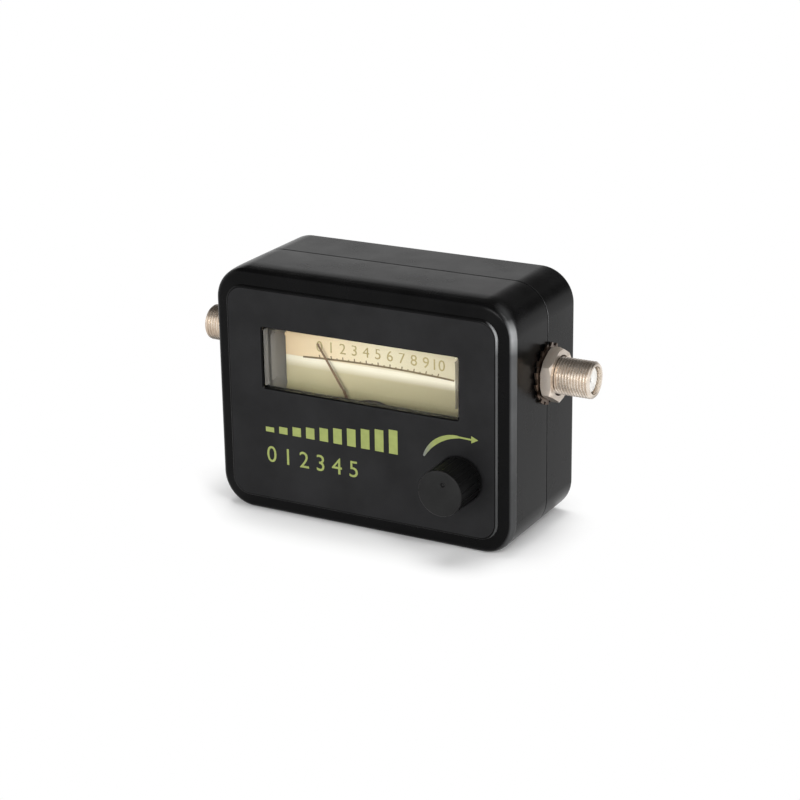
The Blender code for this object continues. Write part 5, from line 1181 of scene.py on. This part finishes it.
knob_low, knob_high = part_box("level_knob")
knob_front, knob_back = knob_low.y, knob_high.y
knob_radius = (knob_high.z - knob_low.z) / 2
top_radius = knob_radius - KNOB_TAPER
bore_end = knob_front + KNOB_FACE
profile = [(knob_front, 0)]
profile += [(knob_front, top_radius - KNOB_EDGE - LOOP * loop) for loop in (2, 1, 0)]
for number in range(1, 6):
    angle = math.radians(18 * number)
    along = knob_front + KNOB_EDGE * (1 - math.cos(angle))
    profile.append((along, top_radius - KNOB_EDGE * (1 - math.sin(angle))))
skirt_y = knob_back - KNOB_SKIRT
profile += beside(skirt_y, knob_radius, SKIRT_EDGE) + beside(knob_back, knob_radius, BACK_EDGE)
profile += [(knob_back, KNOB_BORE), (bore_end, KNOB_BORE), (bore_end, 0)]
knob = turned(profile, knob_middle, "Y", 144)


def round_knob(angle, reach):
    """A place on the knob, at an angle and a distance from its axis."""
    return knob_middle + Vector((math.cos(angle), 0, math.sin(angle))) * reach


flute_reach = knob_radius - FLUTE_DEPTH + FLUTE_RADIUS
flute_places = [
    round_knob(2 * math.pi * (number + 0.5) / FLUTES, flute_reach) for number in range(FLUTES)
]
before = knob_front - PAST
dimple = turned(
    [(before, 0), (before, DIMPLE_MOUTH), *beside(knob_front, 0, DIMPLE)],
    round_knob(math.radians(90 - DIMPLE_DEG), DIMPLE_REACH), "Y", 32,
)
flutes = posts(flute_places, FLUTE_RADIUS, knob_front - PAST, skirt_y, 20)
knob = carved(knob, flutes, dimple)
for part in knob.faces:
    at_front = part.calc_center_median().y < knob_front + KNOB_EDGE
    part.material_index = 1 if at_front and part.normal.y < -0.7 else 0
add_piece(
    "level_knob_moulding", knob, [knob_black, knob_face], "knob", ["level_knob"],
    30.0,
)

# %% [markdown]
# The sockets are nickel-plated brass. Plating is bright, but fine turning lines run round it,
# it is duller in patches and yellows a little. The lines come from a noise stretched round
# the axis, so its scale is large along X and small across. The nuts are tumbled, so they
# are more satin. The locking washers are painted dark, as painted shade beside the nuts.
# Bands well above and below the axis are painted darker, as a painted dark reflection.

# %% Metal recipe
metal, metal_in, metal_out = new_group(
    "metal_skin", {"Line Scale": 1.0, "Patch Scale": 300.0}, ("Lines", "Patches")
)
stretched = vector_math(metal, "MULTIPLY", object_place(metal), (14000.0, 500.0, 500.0))[0]
turning = noise_in(metal, stretched, metal_in["Line Scale"], 3.0)
blotches = noise_in(metal, object_place(metal), metal_in["Patch Scale"], 6.0, 0.6)
metal.links.new(turning, metal_out["Lines"])
metal.links.new(ranged(metal, blotches, 0.35, 0.68), metal_out["Patches"])
LINE_DEPTH = 0.004 * MM
DARK_BAND_RISE = (3.3 * MM, 4.1 * MM)  # above and below the sockets' axis


def plated(name, colour, stained, rough_low, rough_high, metallic=1.0, painted_dark=0.0):
    """Bright metal with turning lines, duller patches and darker hollows.

    A painted dark reflection darkens what lies well above and below the sockets' axis.
    """
    material, tree, shader = new_material(name, colour, rough_low, metallic)
    skin = place_group(tree, metal)
    base = mixed_colour(tree, product(tree, skin["Patches"], 0.6), colour, stained)
    pointing = add_node(tree, "NewGeometry").outputs["Pointiness"]
    hollow = ranged(tree, pointing, 0.40, 0.47, 0.35, 0.0)
    dark = tuple(0.25 * channel for channel in stained)
    grime_and_painted_dark = mixed_colour(tree, hollow, base, dark)
    # Painted dark reflection: bands well above and below the sockets' axis are darkened.
    if painted_dark:
        height = parts_of(tree, object_place(tree))["Z"]
        above_axis = math_of(tree, "SUBTRACT", height, socket_middle.z)
        off_axis = math_of(tree, "ABSOLUTE", above_axis, 0.0)
        painted_dark_band = ranged(tree, off_axis, *DARK_BAND_RISE, 0.0, painted_dark)
        grime_and_painted_dark = mixed_colour(tree, painted_dark_band, grime_and_painted_dark, dark)
    tree.links.new(grime_and_painted_dark, shader.inputs["Base Color"])
    vary_roughness(tree, shader, skin["Patches"], rough_low, rough_high)
    bump_from(tree, shader, skin["Lines"], LINE_DEPTH, 0.5)
    return material


# The last value of the nickel and satin nickel is the strength of the painted dark reflection.
nickel = plated("nickel_plate", (0.82, 0.74, 0.65), (0.60, 0.49, 0.39), 0.20, 0.34, 0.86, 0.6)
satin_nickel = plated(
    "satin_nickel", (0.88, 0.79, 0.70), (0.66, 0.54, 0.42), 0.26, 0.40, 0.8, 0.4
)
steel = plated("zinc_steel", (0.60, 0.60, 0.61), (0.38, 0.37, 0.36), 0.28, 0.45)
# The washers' dark colour is painted shade beside the nuts.
washer_painted_shade = plated("washer_painted_dark", (0.15, 0.11, 0.085), (0.07, 0.045, 0.033), 0.30, 0.48)
brass = plated("brass", (0.72, 0.54, 0.25), (0.45, 0.30, 0.13), 0.22, 0.4)
copper = plated("copper_wire", (0.74, 0.35, 0.18), (0.45, 0.18, 0.09), 0.3, 0.45)
tin = plated("tinned_sheet", (0.70, 0.70, 0.68), (0.45, 0.45, 0.44), 0.25, 0.45)
magnet = plated("magnet_alloy", (0.26, 0.26, 0.28), (0.14, 0.14, 0.15), 0.32, 0.5)
print("metals ready")

# %% [markdown]
# The socket's thread is a real one: 32 turns to the inch, so one turn moves 0.794 mm. One
# pitch of the profile is spun round while it moves along the axis, its seams are merged,
# and two flat cuts trim it.

# %% Thread
PITCH = 0.794 * MM
THREAD_RADIUS = 4.75 * MM
THREAD_DEPTH = 0.46 * MM
THREAD_SHARES = ((0.0, 0), (0.12, 0), (0.44, 1), (0.62, 1), (1.0, 0))  # of a pitch, of the depth
THREAD_STEPS = 48

socket_axis = Vector((0.0, socket_middle.y, socket_middle.z))


def trimmed(form, x, direction):
    """Cuts a form at x and keeps what lies in the given direction along X."""
    bmesh.ops.bisect_plane(
        form, geom=form.verts[:] + form.edges[:] + form.faces[:],
        plane_co=(x, 0, 0), plane_no=(direction, 0, 0), clear_inner=True,
    )


def screw_thread(low_x, high_x):
    """A threaded rod along X on the socket's axis."""
    form = bmesh.new()
    points = []
    for along, up in THREAD_SHARES:
        radius = THREAD_RADIUS if up else THREAD_RADIUS - THREAD_DEPTH
        place = Vector((low_x - PITCH + along * PITCH, 0, radius))
        points.append(form.verts.new(socket_axis + place))
    edges = [form.edges.new(pair) for pair in zip(points, points[1:])]
    turns = math.ceil((high_x - low_x) / PITCH) + 2
    bmesh.ops.spin(
        form, geom=points + edges, cent=socket_axis, axis=(1, 0, 0),
        dvec=(PITCH / THREAD_STEPS, 0, 0), angle=2 * math.pi * turns,
        steps=THREAD_STEPS * turns, use_merge=False, use_duplicate=False,
    )
    bmesh.ops.remove_doubles(form, verts=form.verts[:], dist=10 * MERGE)
    trimmed(form, low_x, 1)
    trimmed(form, high_x, -1)
    open_edges = [edge for edge in form.edges if edge.is_boundary]
    bmesh.ops.holes_fill(form, edges=open_edges, sides=0)
    return faced_out(form)


print("thread radius, mm:", THREAD_RADIUS / MM, "- pitch, mm:", PITCH / MM)

# %% [markdown]
# A socket is turned from one bar: thread, flange inside the wall and a tail, drilled through.
# An exact Boolean keeps what lies inside a turned form, which gives the thread's end its
# chamfer. The left socket is the right one turned half round, which keeps the thread's hand.

# %% Socket bodies
FLANGE_RADIUS = 6.3 * MM
FLANGE_THICK = 2.0 * MM
TAIL_RADIUS = 4.2 * MM
BORE = 3.6 * MM
END_CHAMFER = 0.45 * MM
BREAK = 0.15 * MM  # how far sharp edges are broken
JUST_OUTSIDE = 0.02 * MM  # so that a cutter's surface and a form's never coincide

body_low, body_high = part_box("connector_body_right")
flange_out = shell_high.x - WALL - GAP


def on_socket(profile, steps):
    """A profile turned round the sockets' axis."""
    return turned(profile, socket_axis, "X", steps)


def socket_form():
    """The right socket: thread, flange and tail, drilled through."""
    end_x, tail_x = body_high.x, body_low.x
    form = screw_thread(flange_out - GAP, end_x)
    wide = 2 * THREAD_RADIUS
    keep = on_socket([
        (tail_x, 0), (tail_x, wide), (end_x - END_CHAMFER, wide),
        (end_x - END_CHAMFER, THREAD_RADIUS + JUST_OUTSIDE),
        (end_x, THREAD_RADIUS - END_CHAMFER), (end_x, 0),
    ], 64)
    flange_in = flange_out - FLANGE_THICK
    foot = on_socket([
        (tail_x, 0), (tail_x, TAIL_RADIUS - BREAK), (tail_x + BREAK, TAIL_RADIUS),
        (flange_in, TAIL_RADIUS), (flange_in, FLANGE_RADIUS - BREAK),
        (flange_in + BREAK, FLANGE_RADIUS), (flange_out - BREAK, FLANGE_RADIUS),
        (flange_out, FLANGE_RADIUS - BREAK), (flange_out, 0),
    ], 64)
    form = joined(combined(form, keep, "INTERSECT"), foot)
    return carved(form, rod(socket_axis, BORE, tail_x - PAST, end_x + PAST, "X", 64))


def add_both_sides(*parts):
    """Adds each part on the right, and turned half round an upright axis on the left."""
    half_turn = Matrix.Rotation(math.pi, 4, "Z")
    space = Matrix.Translation(-Vector((0.0, socket_middle.y, 0.0)))
    for side in ("_right", "_left"):
        for name, make, material, slot, node, smooth_deg in parts:
            form = make()
            if side == "_left":
                bmesh.ops.transform(form, matrix=half_turn, space=space, verts=form.verts[:])
            add_piece(name + side, form, [material], "case", [node + side], smooth_deg)


add_both_sides(("socket_body", socket_form, nickel, "nickel", "connector_body", 32.0))

# %% [markdown]
# A hexagon nut holds each socket. It is a circle of six points, extruded. Its corners are
# trimmed by a cone on both faces, which leaves the curved edges every real nut has.

# %% Nut
NUT_CHAMFER = 1.05 * MM
NUT_MOUTH = 0.9 * MM

nut_low, nut_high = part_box("hex_nut_right")
nut_corner = (nut_high.z - nut_low.z) / 2


def nut_form():
    """The right nut: a hexagon trimmed by two cones and bored."""
    form = bmesh.new()
    centre = Vector((nut_low.x, socket_axis.y, socket_axis.z))
    corner_up = Matrix.Rotation(math.pi / 2, 4, "Y") @ Matrix.Rotation(math.pi / 2, 4, "Z")
    place = Matrix.Translation(centre) @ corner_up
    bmesh.ops.create_circle(form, cap_ends=True, radius=nut_corner, segments=6, matrix=place)
    made = bmesh.ops.extrude_face_region(form, geom=form.faces[:])
    bmesh.ops.translate(form, vec=(nut_high.x - nut_low.x, 0, 0), verts=new_parts(made))
    slope = NUT_CHAMFER / 2
    widest, narrowest = nut_corner + JUST_OUTSIDE / 2, nut_corner - NUT_CHAMFER - slope
    cone = on_socket([
        (nut_low.x - slope, 0), (nut_low.x - slope, narrowest),
        (nut_low.x + slope, widest), (nut_high.x - slope, widest),
        (nut_high.x + slope, narrowest), (nut_high.x + slope, 0),
    ], 96)
    bore, mouth = THREAD_RADIUS + GAP, THREAD_RADIUS + NUT_MOUTH
    hole = on_socket([
        (nut_low.x - PAST, 0), (nut_low.x - PAST, mouth), (nut_low.x + GAP, bore),
        (nut_high.x - GAP, bore), (nut_high.x + PAST, mouth), (nut_high.x + PAST, 0),
    ], 64)
    return carved(combined(faced_out(form), cone, "INTERSECT"), hole)


print("nut across corners, mm:", round(2 * nut_corner / MM, 2))

# %% [markdown]
# The locking washer behind the nut has sixteen teeth, pushed outward from a ring in pairs of
# faces and twisted, so that they bite. Nut and washer are then added on both sides.

# %% Washer
WASHER_BORE = 5.05 * MM
WASHER_ROOT = 7.1 * MM
WASHER_REACH = 7.9 * MM
WASHER_TWIST = 0.16 * MM
TEETH = 16

washer_low, washer_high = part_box("lock_washer_right")


def washer_form():
    """The right washer: a ring of four faces for each tooth, two of which are drawn out."""
    steps = TEETH * 4
    form = on_socket([
        (washer_low.x, WASHER_BORE), (washer_low.x, WASHER_ROOT),
        (washer_high.x, WASHER_ROOT), (washer_high.x, WASHER_BORE),
    ], steps)
    form.normal_update()
    rims = [
        face for face in form.faces
        if abs(face.normal.x) < 0.1
        and (face.calc_center_median() - socket_axis).dot(face.normal) > 0
    ]
    for tooth in range(TEETH):
        wanted = []
        for face in rims:
            if not face.is_valid:
                continue
            centre = face.calc_center_median() - socket_axis
            number = int(math.atan2(centre.z, centre.y) % (2 * math.pi) / (2 * math.pi) * steps)
            if number in (4 * tooth + 1, 4 * tooth + 2):
                wanted.append(face)
        moved = new_parts(bmesh.ops.extrude_face_region(form, geom=wanted))
        bmesh.ops.delete(form, geom=[face for face in wanted if face.is_valid], context="FACES")
        middle_angle = 2 * math.pi * (4 * tooth + 2) / steps
        for point in moved:
            reach = point.co - socket_axis
            angle = math.atan2(reach.z, reach.y)
            lean = math.sin(angle - middle_angle) * steps / math.pi
            along = point.co.x
            reach.x = 0
            point.co = socket_axis + reach.normalized() * WASHER_REACH
            point.co.x = along + WASHER_TWIST * lean / 2
    return faced_out(form)


add_both_sides(
    ("socket_nut", nut_form, satin_nickel, "nickel", "hex_nut", 30.0),
    ("socket_washer", washer_form, washer_painted_shade, "nickel", "lock_washer", 30.0),
)

# %% [markdown]
# Inside each socket sits a white insulator with a small entry, and behind it the spring
# contact that takes the cable's centre wire.

# %% Insulators and contacts
insulator_low, insulator_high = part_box("insulator_right")
contact_low, contact_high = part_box("centre_contact_right")
insulator_radius = (insulator_high.z - insulator_low.z) / 2
ENTRY = 0.65 * MM
FUNNEL = ((0.0, 0.5), (-0.4, 0.0))
CONTACT_HOLE = 1.5 * MM
FACE_WALL = 0.7 * MM
PIN_RADIUS = 0.5 * MM
SPRING_RADIUS = 1.2 * MM
SPRING_BORE = 0.6 * MM
SPRING_DEPTH = 6.0 * MM


def insulator_form():
    end = insulator_high.x
    return on_socket([
        (insulator_low.x, CONTACT_HOLE), (insulator_low.x, insulator_radius),
        *beside(end, insulator_radius, BACK_EDGE), *beside(end, ENTRY, FUNNEL),
        (end - FACE_WALL, ENTRY), (end - FACE_WALL, CONTACT_HOLE),
    ], 48)


def contact_form():
    start, step, end = contact_low.x, insulator_low.x, contact_high.x
    return on_socket([
        (start, 0), (start, PIN_RADIUS - BREAK), (start + BREAK, PIN_RADIUS),
        (step, PIN_RADIUS), (step, SPRING_RADIUS), (end - BREAK, SPRING_RADIUS),
        (end, SPRING_RADIUS - BREAK), (end, SPRING_BORE + BREAK), (end - 2 * BREAK, SPRING_BORE),
        (end - SPRING_DEPTH, SPRING_BORE), (end - SPRING_DEPTH - 2 * BREAK, 0),
    ], 32)


white_plastic = moulded_plastic(
    "white_insulator", (0.80, 0.78, 0.72), (0.85, 0.84, 0.80), 0.35, 0.5, 2200.0, 0.01, INNER_DUST
)
add_both_sides(
    ("socket_insulator", insulator_form, white_plastic, "white_insulator", "insulator", 40.0),
    ("socket_contact", contact_form, brass, "brass", "centre_contact", 40.0),
)

# %% [markdown]
# The four case screws sit deep in the back. They are pan heads, turned with a domed top, and
# their cross recess tapers towards its bottom like a real driver's bit.

# %% Case screws
HEAD_RADIUS = 2.7 * MM
HEAD_FOOT = ((0.0, -0.1), (0.1, 0.0))
HEAD_DOME = ((-0.9, 0.0), (-0.45, -0.25), (-0.12, -0.85), (0.0, -1.7))
SHANK_RADIUS = 1.3 * MM
RECESS = Vector((2.9 * MM, 1.6 * MM, 0.62 * MM))
RECESS_FOOT_SHARE = 0.45
RECESS_TURN_DEG = 12


def recess_cutter(centre, head_y):
    """Two crossed wedges that narrow with depth."""
    wedges = []
    for turn in (0, 90):
        form = bmesh.new()
        made = bmesh.ops.create_cube(form, size=1.0)["verts"]
        for point in made:
            share = 1.0 if point.co.y > 0 else RECESS_FOOT_SHARE
            point.co = point.co * RECESS * Vector((share, 1, 1))
        turned_by = Matrix.Rotation(math.radians(turn + RECESS_TURN_DEG), 4, "Y")
        place = Matrix.Translation((centre.x, head_y, centre.z)) @ turned_by
        bmesh.ops.transform(form, matrix=place, verts=made)
        wedges.append(form)
    return joined(*wedges)


for name, centre in zip(case_screws, post_middles):
    low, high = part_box(name)
    tip_y, head_y = low.y, high.y
    seat = head_y - HEAD_HEIGHT
    form = turned(
        [
            (tip_y, 0), (tip_y, SHANK_RADIUS / 2), (tip_y + SHANK_RADIUS, SHANK_RADIUS),
            (seat, SHANK_RADIUS), *beside(seat, HEAD_RADIUS, HEAD_FOOT),
            *beside(head_y, HEAD_RADIUS, HEAD_DOME), (head_y, 0),
        ],
        centre, "Y", 48,
    )
    form = carved(form, recess_cutter(centre, head_y))
    add_piece(name + "_panhead", form, [steel], "case", [name], 35.0)

# %% [markdown]
# The inner pieces keep their CAD meshes. Each gets a material of its own kind with the same
# grain and variation groups: enamelled wire, laminate, solder-resisted board, moulded
# component bodies, a printed sleeve and the amber lamps.

# %% Inner materials
INNER_PLASTICS = (
    ("dark_plastic", (0.028, 0.022, 0.019), (0.07, 0.06, 0.05), 0.4, 0.55, 2400.0, 0.02),
    ("board_green", (0.02, 0.11, 0.04), (0.10, 0.22, 0.10), 0.3, 0.45, 1200.0, 0.02),
    ("brown_laminate", (0.17, 0.085, 0.035), (0.3, 0.18, 0.09), 0.45, 0.6, 900.0, 0.03),
    ("component_black", (0.015, 0.015, 0.015), (0.06, 0.06, 0.06), 0.42, 0.56, 2600.0, 0.03),
    ("sleeve_blue", (0.02, 0.045, 0.17), (0.1, 0.14, 0.3), 0.3, 0.42, 1500.0, 0.01),
    ("lamp_amber", (0.55, 0.32, 0.09), (0.8, 0.55, 0.25), 0.12, 0.25, 1500.0, 0.01),
    ("needle_paint", (0.105, 0.062, 0.03), (0.2, 0.12, 0.06), 0.4, 0.5, 3000.0, 0.01),
)
finish_of_slot = {
    "black_moulding": case_black, "knob_plastic": knob_black, "clear_plastic": polished_clear,
    "cream_print": dial_paint, "nickel": nickel, "steel": steel, "brass": brass,
    "copper": copper, "magnet": magnet, "tin": tin, "white_insulator": white_plastic,
}
for name, *values in INNER_PLASTICS:
    finish_of_slot[name] = moulded_plastic(name, *values, INNER_DUST)
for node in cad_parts.values():
    for holder in node.material_slots:
        holder.material = finish_of_slot[holder.material.name.split(".")[0]]
print("finishes on CAD nodes:", len(finish_of_slot))

# %% [markdown]
# The picture has a plain white ground with a soft shadow close to the case. A large pale floor
# catches the shadow. With distance from the case it turns into plain white for rays from the
# camera or from a glossy or clear surface, so it meets the world without a line.

# %% Floor
FLOOR_HALF = 3.0
SHADOW_SHIFT = (6.0 * MM, 0.0, 0.0)
SHADOW_HALF = (32.0 * MM, 16.0 * MM, 0.0)
SHADOW_FADE = (10.0 * MM, 28.0 * MM)


def seen_directly(tree):
    """1 for rays from the camera or from a glossy or clear surface, 0 for the room's light."""
    rays = add_node(tree, "LightPath").outputs
    seen = math_of(tree, "ADD", rays["Is Camera Ray"], rays["Is Glossy Ray"])
    return math_of(tree, "ADD", seen, rays["Is Transmission Ray"])


floor_form = bmesh.new()
bmesh.ops.create_grid(floor_form, x_segments=1, y_segments=1, size=FLOOR_HALF)
floor_mesh = bpy.data.meshes.new("floor")
floor_form.to_mesh(floor_mesh)
floor_form.free()
floor_paint, tree, shader = new_material(
    "floor_paint", (0.93, 0.93, 0.93), 0.9, Specular_IOR_Level=0.1
)
skin = place_group(tree, grain, Fine_Scale=900.0, Tone_Scale=3.0)
patches = product(tree, skin["Tone"], 0.3)
pale = mixed_colour(tree, patches, (0.95, 0.95, 0.95), (0.92, 0.92, 0.91))
tree.links.new(pale, shader.inputs["Base Color"])
centred = vector_math(tree, "ADD", object_place(tree), SHADOW_SHIFT)[0]
mirrored = vector_math(tree, "ABSOLUTE", centred)[0]
beyond = vector_math(tree, "SUBTRACT", mirrored, SHADOW_HALF)[0]
outside = vector_math(tree, "MAXIMUM", beyond)[0]
far = ranged(tree, vector_math(tree, "LENGTH", outside)["Value"], *SHADOW_FADE)
white = add_node(tree, "Emission", {"Color": (1.0, 1.0, 1.0, 1.0), "Strength": 1.0})
mix_surface(tree, product(tree, seen_directly(tree), far), shader, white)
floor_mesh.materials.append(floor_paint)
floor = placed("floor", floor_mesh)
print("floor reaches, m:", max(point.co.x for point in floor_mesh.vertices))

# %% [markdown]
# The world is a white room with a dark ceiling behind, as a photographer's tent has, because
# glossy black plastic shows its surroundings: the top takes its sheen from it.

# %% World
CEILING_TILT = (0.0, 0.191, 0.982)
ROOM_LIGHT = 1.25

world = bpy.data.worlds.new("soft_room")
bpy.context.scene.world = world
world.use_nodes = True
tree = world.node_tree
ground = tree.nodes["Background"]
direction = add_node(tree, "TexCoord").outputs["Generated"]
ceiling = vector_math(tree, "DOT_PRODUCT", direction, CEILING_TILT)["Value"]
height = ranged(tree, ceiling, 0.445, 0.595)
parts = parts_of(tree, direction)
to_right = ranged(tree, parts["X"], 0.0, 0.3)
to_back = ranged(tree, parts["Y"], 0.4, 0.65)
to_top = ranged(tree, parts["Z"], 0.06, 0.2)
dark = math_of(tree, "MAXIMUM", height, product(tree, to_right, to_back, to_top))
room = mixed_colour(tree, dark, (1.0, 1.0, 1.0), (0.08, 0.08, 0.08))
tree.links.new(room, ground.inputs["Color"])
light = ranged(tree, seen_directly(tree), 0.0, 1.0, ROOM_LIGHT, 1.0)
tree.links.new(light, ground.inputs["Strength"])
print("world:", world.name)

# %% [markdown]
# A broad soft lamp overhead throws the shadow, one in front lights the window, and a small one
# on the right picks out the rounded edges.

# %% Lamps
def soft_lamp(name, place, power, width, height, target=CASE_MIDDLE, spread_deg=180.0):
    """A rectangular lamp aimed at a target; a small spread keeps its light in a beam."""
    data = bpy.data.lights.new(name, "AREA")
    data.shape = "RECTANGLE"
    data.size, data.size_y, data.energy = width, height, power
    data.spread = math.radians(spread_deg)
    lamp = placed(name, data)
    lamp.location = place
    lamp.rotation_mode = "QUATERNION"
    lamp.rotation_quaternion = (Vector(target) - lamp.location).to_track_quat("-Z", "Y")
    lamp.visible_camera = False
    return lamp


key = soft_lamp("key_lamp", (-0.06, 0.12, 0.90), 6.4, 0.55, 0.55)
key.visible_glossy = False
soft_lamp("window_lamp", (-0.05, -0.85, 0.30), 2.6, 0.3, 0.3)
soft_lamp("edge_lamp", (0.36, -0.25, 0.40), 0.2, 0.15, 0.3, (0.06, -0.04, 0.03), 90.0)
print("key lamp, W:", round(key.data.energy, 1))

# %% [markdown]
# Colours should render as written, so the view is Standard.

# %% Finish
bpy.context.scene.view_settings.view_transform = "Standard"
